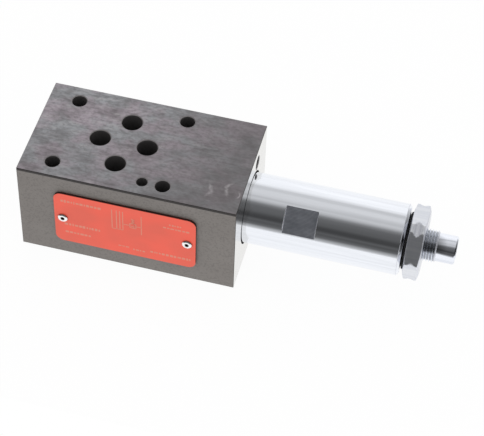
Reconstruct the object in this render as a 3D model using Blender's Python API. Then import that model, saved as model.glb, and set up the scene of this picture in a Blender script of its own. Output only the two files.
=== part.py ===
"""Hydraulic sandwich valve, size 6: a ported block with a screw-in relief cartridge.

The block is clamped between a subplate and a directional valve. Its four ports run straight
through it, and the cartridge in its end opens port B to port T when the pressure in B
overcomes the spring. The adjusting screw sets the spring, and the lock nut holds the screw.

The origin is the centre of the port pattern, on the face that the block is mounted by.
+X runs along the cartridge, +Y to the side of port T, and +Z up through the block.
The lengths below are millimetres, and MM turns them into Blender's metres.
"""

import math

import bmesh
import bpy
from mathutils import Matrix, Vector

MM = 0.001

# Facets around a full turn, by how large the round is
BARREL_SEGMENTS = 48
ROUND_SEGMENTS = 24
SMALL_SEGMENTS = 20
COIL_SEGMENTS = 12
WIRE_RESOLUTION = 2
SECTION_SEGMENTS = 6
BALL_SEGMENTS = 10
BALL_RINGS = 6
SHARP_ANGLE = math.radians(30.0)
MERGE_DISTANCE = 1e-8

# Clearances, each on one side
SEAT_GAP = 0.05
RUNNING_GAP = 0.1
THREAD_GAP = 0.15
SEAL_GAP = 0.04
OVERCUT = 1.0

# Corners of every hexagon, and how square a squeezed seal's section is (2 is an ellipse)
HEXAGON_SIDES = 6
FREE_SECTION = 2.0
SQUEEZED_SECTION = 3.0

# Ported block
BLOCK_TO_PLAIN_END = 32.7
BLOCK_TO_CARTRIDGE_END = 47.1
BLOCK_WIDTH = 44.3
BLOCK_HEIGHT = 40.0
BLOCK_CHAMFER = 0.25

# Port and bolt pattern of a size 6 valve face, from the pattern's centre
PORT_P = (0.0, -10.4)
PORT_A = (-8.8, 0.0)
PORT_B = (8.7, 0.0)
PORT_T = (0.0, 10.4)
PORT_DIAMETER = 7.5
BOLT_HOLES = ((-21.5, 15.5), (19.0, 16.25), (19.0, -16.25), (-21.5, -15.5))
BOLT_HOLE_DIAMETER = 5.4
PIN_HOLE = (11.5, -16.25)
PIN_HOLE_DIAMETER = 4.0
PIN_HOLE_DEPTH = 4.0
HOLE_CHAMFER = 0.25
DRILL_POINT_HALF_ANGLE = math.radians(59.0)

# Face seals, squeezed flush with the mounting face
SEAL_RECESS_DEPTH = 1.4
SEAL_RECESS_WEB = 0.6
SEAL_BORE_STEP = 0.9

# Gallery from the end face to port T, and the drilling that links it to the cavity
GALLERY_DIAMETER = 5.0
GALLERY_Y = 8.9
GALLERY_BELOW_TOP = 5.8
GALLERY_PAST_PORT = 1.0
GALLERY_MOUTH_CHAMFER = 0.3
LINK_DIAMETER = 4.0
LINK_ANGLE = math.radians(40.0)
LINK_START_RADIUS = 4.0

# Expander plug in the gallery's mouth
PLUG_RECESS = 3.5
PLUG_LENGTH = 5.0
PLUG_FLOOR = 1.2
PLUG_WALL = 0.8

# Name plate and its two tubular rivets
PLATE_WIDTH = 52.3
PLATE_HEIGHT = 25.0
PLATE_THICKNESS = 1.0
PLATE_CORNER_RADIUS = 3.0
PLATE_CORNER_SEGMENTS = 6
PLATE_CENTRE_X = 6.95
RIVET_FROM_PLATE_END = 3.15
RIVET_HEAD_DIAMETER = 3.6
RIVET_HEAD_HEIGHT = 0.6
RIVET_HEAD_RIM = 0.2
RIVET_SHANK_DIAMETER = 2.5
RIVET_SHANK_LENGTH = 5.0
RIVET_BORE_DIAMETER = 1.4
RIVET_BORE_DEPTH = 2.6

# Cartridge cavity, counted from the bottom of the nose bore. Its bores follow from the
# cartridge, which is built outwards from its spring chamber, and its thread comes to M22.
CAVITY_WEB = 1.65
NOSE_DRILL_DIAMETER = 7.0
NOSE_BORE_LENGTH = 8.4
NOSE_BORE_CHAMFER = 0.6
TAP_DRILL_STEP = 0.8
THREAD_RUNOUT = 1.0

# Valve sleeve with its seat, seal and back-up ring
SLEEVE_END_GAP = 0.5
SLEEVE_NOSE_LENGTH = 7.6
SLEEVE_WAIST_LENGTH = 9.0
SLEEVE_WAIST_STEP = 0.9
SLEEVE_FLANGE_LENGTH = 4.0
SLEEVE_FLANGE_STEP = 1.5
SLEEVE_WALL = 1.5
SLEEVE_CHAMFER = 0.4
SLEEVE_GROOVE_WIDTH = 3.3
SLEEVE_GROOVE_DEPTH = 1.7
SLEEVE_PORT_DIAMETER = 3.5
BACKUP_RING_WIDTH = 1.2
SEAT_DIAMETER = 5.0
SEAT_LENGTH = 6.0
POPPET_CHAMBER_LENGTH = 7.0
GUIDE_STEP = 1.1

# Poppet and its spring plate
POPPET_TIP_INSIDE_SEAT = 0.9
POPPET_CONE_OUTSIDE_SEAT = 1.1
POPPET_NECK_STEP = 0.8
POPPET_GUIDE_PAST_SLEEVE = 1.4
POPPET_TAIL_DIAMETER = 5.0
POPPET_TAIL_LENGTH = 2.8
PLATE_FLANGE_THICKNESS = 2.2
PLATE_BOSS_LENGTH = 2.4

# Cartridge body: neck in the block, barrel outside
ROOT_GAP = 0.1
BARREL_DIAMETER = 26.0
BARREL_END_FROM_BLOCK = 57.2
BARREL_CHAMFER = 1.0
BARREL_ROOT_CHAMFER = 0.3
SPANNER_WIDTH = 24.0
SPANNER_FLAT_FROM_BLOCK = 14.5
SPANNER_FLAT_LENGTH = 11.5
SPANNER_FLAT_ANGLE = math.radians(138.8)
SPRING_CHAMBER_DIAMETER = 15.2
CHAMBER_STEP = 1.0
NECK_WALL = 2.25
NECK_LIP = 1.2
SCREW_THREAD_LENGTH = 13.2

# Spot face that the barrel stands in, and the seal under the barrel's root
SPOT_FACE_DEPTH = 1.2
SPOT_FACE_CLEARANCE = 0.65
MOUTH_SEAL_SECTION = 1.85
MOUTH_SEAL_INSIDE_BARREL = 0.5

# Retaining ring that holds the sleeve in the neck
RETAINING_RING_WIDTH = 1.0
RETAINING_RING_DEPTH = 0.6
RETAINING_RING_INSIDE = 0.8
RETAINING_RING_OPENING = math.radians(50.0)

# Main spring
SPRING_WIRE = 2.8
SPRING_COILS = 8.0
SPRING_END_COILS = 1.0
SPRING_COIL_GAP = 0.12
SPRING_GAP = 0.5
SPRING_BOSS_GAP = 0.3

# Adjuster piston and its seal
PISTON_LENGTH = 12.0
PISTON_BOSS_LENGTH = 3.5
PISTON_CHAMFER = 0.5
PISTON_GROOVE_FROM_END = 4.0
PISTON_GROOVE_WIDTH = 2.5
PISTON_GROOVE_DEPTH = 1.75

# Adjusting screw, thread M12 by 1
SCREW_OUT_TRAVEL = 2.0
SCREW_THREAD_DIAMETER = 12.0
SCREW_THREAD_END_FROM_BARREL = 11.5
SCREW_THREAD_CHAMFER = 0.6
SCREW_PIN_DIAMETER = 10.3
SCREW_PIN_LENGTH = 6.8
SCREW_PIN_CHAMFER = 0.5
SCREW_COLLAR_STEP = 1.0
SCREW_COLLAR_THICKNESS = 3.0
SCREW_TIP_DIAMETER = 8.0
SCREW_TIP_LENGTH = 1.8
SCREW_TIP_PROUD = 0.4
SCREW_TIP_CHAMFER = 0.5
SOCKET_WIDTH = 5.0
SOCKET_DEPTH = 5.5

# Lock nut and the seal washer under it
NUT_SEAL_THICKNESS = 0.9
NUT_SEAL_DIAMETER = 20.8
NUT_WIDTH = 24.0
NUT_THICKNESS = 5.8
NUT_FACE_INSET = 0.6
NUT_CHAMFER_ANGLE = math.radians(15.0)
NUT_BORE_CHAMFER = 0.6
NUT_CORNER_ANGLE = math.radians(50.0)

# Colours (linear red, green, blue), metallic and roughness
BLACK_PHOSPHATE = ((0.055, 0.05, 0.052), 0.75, 0.5)
RED_ANODISED = ((0.8, 0.1, 0.06), 0.3, 0.4)
ZINC_PLATE = ((0.75, 0.76, 0.78), 1.0, 0.25)
GROUND_STEEL = ((0.5, 0.51, 0.53), 1.0, 0.3)
HARDENED_STEEL = ((0.32, 0.32, 0.33), 1.0, 0.25)
SPRING_STEEL = ((0.16, 0.15, 0.15), 0.9, 0.4)
NITRILE_RUBBER = ((0.015, 0.015, 0.016), 0.0, 0.6)
WHITE_PTFE = ((0.85, 0.85, 0.82), 0.0, 0.5)

# Places that several pieces share
TOP_Z = BLOCK_HEIGHT
AXIS_Z = BLOCK_HEIGHT / 2
END_X = BLOCK_TO_CARTRIDGE_END
FRONT_Y = -BLOCK_WIDTH / 2
GALLERY_Z = TOP_Z - GALLERY_BELOW_TOP
PORT_RADIUS = PORT_DIAMETER / 2

# Radii of the cartridge and its cavity, from the spring chamber outwards
CHAMBER_RADIUS = SPRING_CHAMBER_DIAMETER / 2
SLEEVE_SOCKET_RADIUS = CHAMBER_RADIUS + CHAMBER_STEP
NECK_RADIUS = SLEEVE_SOCKET_RADIUS + NECK_WALL
CAVITY_THREAD_RADIUS = NECK_RADIUS + THREAD_GAP
TAP_DRILL_RADIUS = CAVITY_THREAD_RADIUS - TAP_DRILL_STEP
SLEEVE_FLANGE_RADIUS = SLEEVE_SOCKET_RADIUS - RUNNING_GAP
SLEEVE_WAIST_RADIUS = SLEEVE_FLANGE_RADIUS - SLEEVE_FLANGE_STEP
SLEEVE_RADIUS = SLEEVE_WAIST_RADIUS + SLEEVE_WAIST_STEP
NOSE_BORE_RADIUS = SLEEVE_RADIUS + RUNNING_GAP

CAVITY_BOTTOM_X = PORT_B[0] + PORT_RADIUS + CAVITY_WEB

SLEEVE_X = CAVITY_BOTTOM_X + SLEEVE_END_GAP
SLEEVE_NOSE_END_X = SLEEVE_X + SLEEVE_NOSE_LENGTH
SLEEVE_FLANGE_X = SLEEVE_NOSE_END_X + SLEEVE_WAIST_LENGTH
SLEEVE_END_X = SLEEVE_FLANGE_X + SLEEVE_FLANGE_LENGTH
SLEEVE_GROOVE_X = SLEEVE_X + (SLEEVE_NOSE_LENGTH - SLEEVE_GROOVE_WIDTH) / 2
POPPET_CHAMBER_RADIUS = SLEEVE_WAIST_RADIUS - SLEEVE_WALL
GUIDE_BORE_RADIUS = POPPET_CHAMBER_RADIUS - GUIDE_STEP
SEAT_RADIUS = SEAT_DIAMETER / 2
SEAT_X = SLEEVE_X + SEAT_LENGTH
POPPET_CHAMBER_END_X = SEAT_X + POPPET_CHAMBER_LENGTH

RETAINING_RING_X = SLEEVE_FLANGE_X - SEAT_GAP - RETAINING_RING_WIDTH
NECK_X = RETAINING_RING_X - SEAT_GAP - NECK_LIP
CHAMBER_X = SLEEVE_END_X + SEAT_GAP
CAVITY_THREAD_X = NECK_X - THREAD_RUNOUT
SIDE_CHAMBER_X = CAVITY_BOTTOM_X + NOSE_BORE_LENGTH
SIDE_CHAMBER_MIDDLE_X = (SIDE_CHAMBER_X + CAVITY_THREAD_X) / 2

BARREL_RADIUS = BARREL_DIAMETER / 2
SPOT_FACE_RADIUS = BARREL_RADIUS + SPOT_FACE_CLEARANCE
SPOT_FACE_X = END_X - SPOT_FACE_DEPTH
BARREL_X = SPOT_FACE_X + ROOT_GAP
BARREL_END_X = END_X + BARREL_END_FROM_BLOCK
MOUTH_POCKET_RADIUS = BARREL_RADIUS - MOUTH_SEAL_INSIDE_BARREL
MOUTH_POCKET_X = BARREL_X - MOUTH_SEAL_SECTION - 2 * SEAL_GAP
MOUTH_NECK_RADIUS = MOUTH_POCKET_RADIUS - MOUTH_SEAL_SECTION - 2 * SEAL_GAP
SHOULDER_X = BARREL_END_X - SCREW_THREAD_LENGTH

SCREW_THREAD_RADIUS = SCREW_THREAD_DIAMETER / 2 - RUNNING_GAP
SCREW_BORE_RADIUS = SCREW_THREAD_RADIUS + THREAD_GAP
COLLAR_END_X = SHOULDER_X - SEAT_GAP - SCREW_OUT_TRAVEL
COLLAR_X = COLLAR_END_X - SCREW_COLLAR_THICKNESS
SCREW_TIP_X = COLLAR_X - SCREW_TIP_LENGTH
THREAD_END_X = BARREL_END_X + SCREW_THREAD_END_FROM_BARREL
PIN_END_X = THREAD_END_X + SCREW_PIN_LENGTH
SOCKET_MOUTH_RADIUS = SOCKET_WIDTH / 2 / math.cos(math.pi / HEXAGON_SIDES)

PISTON_RECESS_DEPTH = SCREW_TIP_LENGTH - SCREW_TIP_PROUD
PISTON_END_X = SCREW_TIP_X - SEAT_GAP + PISTON_RECESS_DEPTH
PISTON_X = PISTON_END_X - PISTON_LENGTH
PISTON_RADIUS = CHAMBER_RADIUS - RUNNING_GAP
GUIDE_END_X = SLEEVE_END_X + POPPET_GUIDE_PAST_SLEEVE
SPRING_PLATE_X = GUIDE_END_X + SEAT_GAP
SPRING_PLATE_FACE_X = SPRING_PLATE_X + PLATE_FLANGE_THICKNESS
SPRING_MEAN_RADIUS = CHAMBER_RADIUS - SPRING_GAP - SPRING_WIRE / 2
SPRING_BOSS_RADIUS = SPRING_MEAN_RADIUS - SPRING_WIRE / 2 - SPRING_BOSS_GAP

NUT_SEAL_X = BARREL_END_X + SEAT_GAP
NUT_X = NUT_SEAL_X + NUT_SEAL_THICKNESS + SEAT_GAP
NUT_END_X = NUT_X + NUT_THICKNESS
NUT_CORNER_RADIUS = NUT_WIDTH / 2 / math.cos(math.pi / HEXAGON_SIDES)

X_AXIS = Vector((1.0, 0.0, 0.0))
Y_AXIS = Vector((0.0, 1.0, 0.0))
Z_AXIS = Vector((0.0, 0.0, 1.0))


def clear_scene():
    """Removes whatever the file starts with."""
    for old in list(bpy.data.objects):
        bpy.data.objects.remove(old, do_unlink=True)


def finish_material(name, finish):
    """A Principled material from a (colour, metallic, roughness) finish."""
    colour, metallic, roughness = finish
    made = bpy.data.materials.new(name)
    made.use_nodes = True
    shader = made.node_tree.nodes["Principled BSDF"]
    shader.inputs["Base Color"].default_value = (*colour, 1.0)
    shader.inputs["Metallic"].default_value = metallic
    shader.inputs["Roughness"].default_value = roughness
    return made


def new_object(name, mesh_builder, location, direction=X_AXIS, finish=None):
    """An object from a bmesh whose own X axis is turned to the given direction.

    A piece gets its finish. With no finish the object is a cutter, hidden and drawn as wire.
    """
    mesh = bpy.data.meshes.new(name)
    mesh_builder.normal_update()
    mesh_builder.to_mesh(mesh)
    mesh_builder.free()
    made = bpy.data.objects.new(name, mesh)
    made.location = Vector(location) * MM
    made.rotation_euler = X_AXIS.rotation_difference(direction).to_euler()
    bpy.context.scene.collection.objects.link(made)
    if finish is None:
        made.hide_render = True
        made.display_type = "WIRE"
        return made
    mesh.materials.append(finish_material(name, finish))
    mesh.shade_smooth()
    mesh.set_sharp_from_angle(angle=SHARP_ANGLE)
    return made


def attach(child, parent):
    """Parents a piece to one that isn't turned, and leaves it where it is."""
    carrier = parent
    while carrier is not None:
        child.location -= carrier.location
        carrier = carrier.parent
    child.parent = parent


def boolean(target, tool, operation="DIFFERENCE"):
    """Adds an exact Boolean of the tool to the target."""
    step = target.modifiers.new(tool.name, "BOOLEAN")
    step.operation = operation
    step.solver = "EXACT"
    step.object = tool


def turned_mesh(outline, segments):
    """A body turned about X from (x, radius) points.

    An outline whose ends lie on the axis gives a solid body. Any other one is closed on
    itself and gives a ring.
    """
    mesh = bmesh.new()
    points = [mesh.verts.new(Vector((x, radius, 0.0)) * MM) for x, radius in outline]
    edges = [mesh.edges.new(pair) for pair in zip(points, points[1:])]
    on_axis = outline[0][1] == 0.0
    if not on_axis:
        edges.append(mesh.edges.new((points[-1], points[0])))
    bmesh.ops.spin(
        mesh,
        geom=points + edges,
        cent=(0.0, 0.0, 0.0),
        axis=X_AXIS,
        angle=math.tau,
        steps=segments,
        use_merge=True,
    )
    bmesh.ops.remove_doubles(mesh, verts=mesh.verts, dist=MERGE_DISTANCE)
    bmesh.ops.recalc_face_normals(mesh, faces=mesh.faces)
    return mesh


def turned(name, outline, location, direction=X_AXIS, finish=None, segments=ROUND_SEGMENTS):
    """An object turned about its own X axis, with the outline given from its origin."""
    return new_object(name, turned_mesh(outline, segments), location, direction, finish)


def on_cartridge_axis(name, outline, origin_x, finish, segments=ROUND_SEGMENTS):
    """A piece turned about the cartridge's axis, from an outline in the part's own x."""
    local = [(x - origin_x, radius) for x, radius in outline]
    return turned(name, local, (origin_x, 0.0, AXIS_Z), X_AXIS, finish, segments)


def hexagon_mesh(corner_radius, length, first_corner=0.0):
    """A hexagonal bar along X from the origin, with a corner at an angle from +Y to +Z."""
    mesh = bmesh.new()
    corners = []
    for index in range(HEXAGON_SIDES):
        angle = first_corner + math.tau * index / HEXAGON_SIDES
        corner = Vector((0.0, corner_radius * math.cos(angle), corner_radius * math.sin(angle)))
        corners.append(mesh.verts.new(corner * MM))
    base = mesh.faces.new(corners)
    extruded = bmesh.ops.extrude_face_region(mesh, geom=[base])["geom"]
    moved = [item for item in extruded if isinstance(item, bmesh.types.BMVert)]
    bmesh.ops.translate(mesh, verts=moved, vec=X_AXIS * length * MM)
    bmesh.ops.recalc_face_normals(mesh, faces=mesh.faces)
    return mesh


def box_mesh(size):
    """A box centred on the origin."""
    mesh = bmesh.new()
    bmesh.ops.create_cube(mesh, size=1.0)
    bmesh.ops.scale(mesh, vec=Vector(size) * MM, verts=mesh.verts)
    return mesh


def round_section(centre, half_width, half_depth, squareness=FREE_SECTION):
    """The outline of a seal ring's section about its (x, radius) centre.

    It is an ellipse, or squarer where the ring is squeezed.
    """
    outline = []
    for index in range(SECTION_SEGMENTS):
        angle = math.tau * (index + 0.5) / SECTION_SEGMENTS
        across, along = math.cos(angle), math.sin(angle)
        shrink = (abs(across) ** squareness + abs(along) ** squareness) ** (1 / squareness)
        x = centre[0] + half_width * across / shrink
        radius = centre[1] + half_depth * along / shrink
        outline.append((x, radius))
    return outline


def drill_point(radius):
    """How far a drill's conical point reaches past its full diameter."""
    return radius / math.tan(DRILL_POINT_HALF_ANGLE)


def seal_recess_radius():
    """Half the smallest port spacing, less a web's width of metal."""
    ports = (PORT_P, PORT_A, PORT_B, PORT_T)
    spacings = [math.dist(one, other) for one in ports for other in ports if one != other]
    return min(spacings) / 2 - SEAL_RECESS_WEB


def port_cutter(name, place):
    """A port straight through the block, with a seal recess below and a chamfer on top."""
    rim = PORT_RADIUS + HOLE_CHAMFER + OVERCUT
    recess = seal_recess_radius()
    outline = (
        (-OVERCUT, 0.0),
        (-OVERCUT, recess),
        (SEAL_RECESS_DEPTH, recess),
        (SEAL_RECESS_DEPTH, PORT_RADIUS),
        (TOP_Z - HOLE_CHAMFER, PORT_RADIUS),
        (TOP_Z + OVERCUT, rim),
        (TOP_Z + OVERCUT, 0.0),
    )
    return turned(name, outline, (*place, 0.0), Z_AXIS)


def bolt_hole_cutter(name, place):
    """A bolt hole straight through the block, chamfered at both ends."""
    radius = BOLT_HOLE_DIAMETER / 2
    rim = radius + HOLE_CHAMFER + OVERCUT
    outline = (
        (-OVERCUT, 0.0),
        (-OVERCUT, rim),
        (HOLE_CHAMFER, radius),
        (TOP_Z - HOLE_CHAMFER, radius),
        (TOP_Z + OVERCUT, rim),
        (TOP_Z + OVERCUT, 0.0),
    )
    return turned(name, outline, (*place, 0.0), Z_AXIS)


def blind_hole_cutter(name, mouth, direction, radius, depth, chamfer):
    """A drilled blind hole whose own X axis points out of its mouth."""
    outline = (
        (-depth - drill_point(radius), 0.0),
        (-depth, radius),
        (-chamfer, radius),
        (OVERCUT, radius + chamfer + OVERCUT),
        (OVERCUT, 0.0),
    )
    return turned(name, outline, mouth, direction, segments=SMALL_SEGMENTS)


def cavity_cutter():
    """The stepped cartridge cavity, with the drilling from its bottom into port B."""
    drill_radius = NOSE_DRILL_DIAMETER / 2
    outline = (
        (PORT_B[0], 0.0),
        (PORT_B[0], drill_radius),
        (CAVITY_BOTTOM_X, drill_radius),
        (CAVITY_BOTTOM_X, NOSE_BORE_RADIUS),
        (SIDE_CHAMBER_X - NOSE_BORE_CHAMFER, NOSE_BORE_RADIUS),
        (SIDE_CHAMBER_X, NOSE_BORE_RADIUS + NOSE_BORE_CHAMFER),
        (SIDE_CHAMBER_X, TAP_DRILL_RADIUS),
        (CAVITY_THREAD_X, TAP_DRILL_RADIUS),
        (CAVITY_THREAD_X, CAVITY_THREAD_RADIUS),
        (MOUTH_POCKET_X, CAVITY_THREAD_RADIUS),
        (MOUTH_POCKET_X, MOUTH_POCKET_RADIUS),
        (SPOT_FACE_X, MOUTH_POCKET_RADIUS),
        (SPOT_FACE_X, SPOT_FACE_RADIUS),
        (END_X + OVERCUT, SPOT_FACE_RADIUS),
        (END_X + OVERCUT, 0.0),
    )
    return on_cartridge_axis("cutter_cavity", outline, CAVITY_BOTTOM_X, None, BARREL_SEGMENTS)


def gallery_cutter():
    """The gallery, drilled from the end face until it opens into port T."""
    depth = END_X - PORT_T[0] + GALLERY_PAST_PORT
    mouth = (END_X, GALLERY_Y, GALLERY_Z)
    radius = GALLERY_DIAMETER / 2
    return blind_hole_cutter("cutter_gallery", mouth, X_AXIS, radius, depth, GALLERY_MOUTH_CHAMFER)


def link_cutter():
    """The inclined drilling from the cavity's side chamber up into the gallery.

    It is drilled through the cavity's mouth, so it leans outwards as it goes inwards.
    """
    radial = Vector((0.0, GALLERY_Y, GALLERY_Z - AXIS_Z))
    outward = radial.normalized()
    direction = outward * math.sin(LINK_ANGLE) - X_AXIS * math.cos(LINK_ANGLE)
    wall_point = Vector((SIDE_CHAMBER_MIDDLE_X, 0.0, AXIS_Z)) + outward * TAP_DRILL_RADIUS
    into_cavity = (TAP_DRILL_RADIUS - LINK_START_RADIUS) / math.sin(LINK_ANGLE)
    into_gallery = (radial.length - TAP_DRILL_RADIUS) / math.sin(LINK_ANGLE)
    radius = LINK_DIAMETER / 2
    outline = (
        (-into_cavity, 0.0),
        (-into_cavity, radius),
        (into_gallery, radius),
        (into_gallery, 0.0),
    )
    return turned("cutter_link", outline, wall_point, direction, segments=SMALL_SEGMENTS)


def rivet_places():
    """The two rivets' places across the front face, left first."""
    reach = PLATE_WIDTH / 2 - RIVET_FROM_PLATE_END
    return (
        ("left", PLATE_CENTRE_X - reach, AXIS_Z),
        ("right", PLATE_CENTRE_X + reach, AXIS_Z),
    )


def build_block():
    """The block, with its ports, bolt holes, pin holes, cavity, gallery and rivet holes."""
    length = BLOCK_TO_PLAIN_END + BLOCK_TO_CARTRIDGE_END
    mesh = box_mesh((length, BLOCK_WIDTH, BLOCK_HEIGHT))
    bmesh.ops.bevel(
        mesh, geom=mesh.edges, offset=BLOCK_CHAMFER * MM, segments=1, affect="EDGES", profile=0.5
    )
    centre = ((END_X - BLOCK_TO_PLAIN_END) / 2, 0.0, AXIS_Z)
    block = new_object("valve_block", mesh, centre, finish=BLACK_PHOSPHATE)
    boolean(block, cavity_cutter())
    for letter, place in (("p", PORT_P), ("a", PORT_A), ("b", PORT_B), ("t", PORT_T)):
        boolean(block, port_cutter(f"cutter_port_{letter}", place))
    for number, place in enumerate(BOLT_HOLES, start=1):
        boolean(block, bolt_hole_cutter(f"cutter_bolt_hole_{number}", place))
    for side, height, direction in (("top", TOP_Z, Z_AXIS), ("bottom", 0.0, -Z_AXIS)):
        mouth = (*PIN_HOLE, height)
        radius = PIN_HOLE_DIAMETER / 2
        name = f"cutter_pin_hole_{side}"
        boolean(block, blind_hole_cutter(name, mouth, direction, radius, PIN_HOLE_DEPTH, HOLE_CHAMFER))
    boolean(block, gallery_cutter())
    boolean(block, link_cutter())
    hole_radius = RIVET_SHANK_DIAMETER / 2 + SEAT_GAP
    hole_depth = RIVET_SHANK_LENGTH + SEAT_GAP
    for side, x, z in rivet_places():
        tool = blind_hole_cutter(
            f"cutter_block_rivet_{side}", (x, FRONT_Y, z), -Y_AXIS, hole_radius, hole_depth, 0.0
        )
        boolean(block, tool)
    return block


def build_name_plate(block):
    """The plate on the front face: a rounded sheet with two rivet holes."""
    mesh = bmesh.new()
    half_width = PLATE_WIDTH / 2
    half_height = PLATE_HEIGHT / 2
    corners = [
        mesh.verts.new(Vector((across * half_width, 0.0, up * half_height)) * MM)
        for across, up in ((-1, -1), (1, -1), (1, 1), (-1, 1))
    ]
    face = mesh.faces.new(corners)
    bmesh.ops.bevel(
        mesh,
        geom=list(face.verts),
        offset=PLATE_CORNER_RADIUS * MM,
        segments=PLATE_CORNER_SEGMENTS,
        affect="VERTICES",
        profile=0.5,
    )
    extruded = bmesh.ops.extrude_face_region(mesh, geom=list(mesh.faces))["geom"]
    moved = [item for item in extruded if isinstance(item, bmesh.types.BMVert)]
    bmesh.ops.translate(mesh, verts=moved, vec=-Y_AXIS * PLATE_THICKNESS * MM)
    bmesh.ops.recalc_face_normals(mesh, faces=mesh.faces)
    centre = (PLATE_CENTRE_X, FRONT_Y - SEAT_GAP, AXIS_Z)
    plate = new_object("name_plate", mesh, centre, finish=RED_ANODISED)
    radius = RIVET_SHANK_DIAMETER / 2 + SEAT_GAP
    outline = (
        (-OVERCUT, 0.0),
        (-OVERCUT, radius),
        (PLATE_THICKNESS + OVERCUT, radius),
        (PLATE_THICKNESS + OVERCUT, 0.0),
    )
    for side, x, z in rivet_places():
        mouth = (x, FRONT_Y - SEAT_GAP, z)
        name = f"cutter_plate_rivet_{side}"
        boolean(plate, turned(name, outline, mouth, -Y_AXIS, segments=SMALL_SEGMENTS))
    attach(plate, block)
    return plate


def build_rivets(block):
    """Two tubular rivets through the plate into the block."""
    head_radius = RIVET_HEAD_DIAMETER / 2
    shank_radius = RIVET_SHANK_DIAMETER / 2
    bore_radius = RIVET_BORE_DIAMETER / 2
    crown = RIVET_HEAD_HEIGHT
    shoulder = (head_radius + bore_radius) / 2
    outline = (
        (-PLATE_THICKNESS - RIVET_SHANK_LENGTH, 0.0),
        (-PLATE_THICKNESS - RIVET_SHANK_LENGTH, shank_radius),
        (0.0, shank_radius),
        (0.0, head_radius),
        (RIVET_HEAD_RIM, head_radius),
        ((RIVET_HEAD_RIM + crown) / 2, head_radius - RIVET_HEAD_RIM),
        (crown, shoulder),
        (crown, bore_radius),
        (crown - RIVET_BORE_DEPTH, bore_radius),
        (crown - RIVET_BORE_DEPTH, 0.0),
    )
    under_head = FRONT_Y - 2 * SEAT_GAP - PLATE_THICKNESS
    for side, x, z in rivet_places():
        rivet = turned(
            f"plate_rivet_{side}", outline, (x, under_head, z), -Y_AXIS, ZINC_PLATE, SMALL_SEGMENTS
        )
        attach(rivet, block)


def build_port_seals(block):
    """A face seal round each port, squeezed flush with the mounting face."""
    outer = seal_recess_radius() - SEAL_GAP
    inner = PORT_RADIUS + SEAL_BORE_STEP
    centre = (SEAL_RECESS_DEPTH / 2, (outer + inner) / 2)
    half_width = SEAL_RECESS_DEPTH / 2 - SEAL_GAP
    outline = round_section(centre, half_width, (outer - inner) / 2, SQUEEZED_SECTION)
    for letter, place in (("p", PORT_P), ("a", PORT_A), ("b", PORT_B), ("t", PORT_T)):
        seal = turned(f"port_seal_{letter}", outline, (*place, 0.0), Z_AXIS, NITRILE_RUBBER)
        attach(seal, block)


def build_gallery_plug(block):
    """The expander plug: a cup in the gallery's mouth, spread by a ball pressed into it."""
    outer = GALLERY_DIAMETER / 2 - SEAT_GAP
    bore = outer - PLUG_WALL
    cup_outline = (
        (-PLUG_LENGTH, 0.0),
        (-PLUG_LENGTH, outer),
        (0.0, outer),
        (0.0, bore),
        (PLUG_FLOOR - PLUG_LENGTH, bore),
        (PLUG_FLOOR - PLUG_LENGTH, 0.0),
    )
    mouth = (END_X - PLUG_RECESS, GALLERY_Y, GALLERY_Z)
    cup = turned("gallery_plug_cup", cup_outline, mouth, X_AXIS, GROUND_STEEL, SMALL_SEGMENTS)
    attach(cup, block)
    ball_radius = bore - SEAT_GAP
    ball_mesh = bmesh.new()
    bmesh.ops.create_uvsphere(
        ball_mesh, u_segments=BALL_SEGMENTS, v_segments=BALL_RINGS, radius=ball_radius * MM
    )
    floor_x = END_X - PLUG_RECESS - PLUG_LENGTH + PLUG_FLOOR
    place = (floor_x + SEAT_GAP + ball_radius, GALLERY_Y, GALLERY_Z)
    ball = new_object("gallery_plug_ball", ball_mesh, place, finish=HARDENED_STEEL)
    attach(ball, block)


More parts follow.
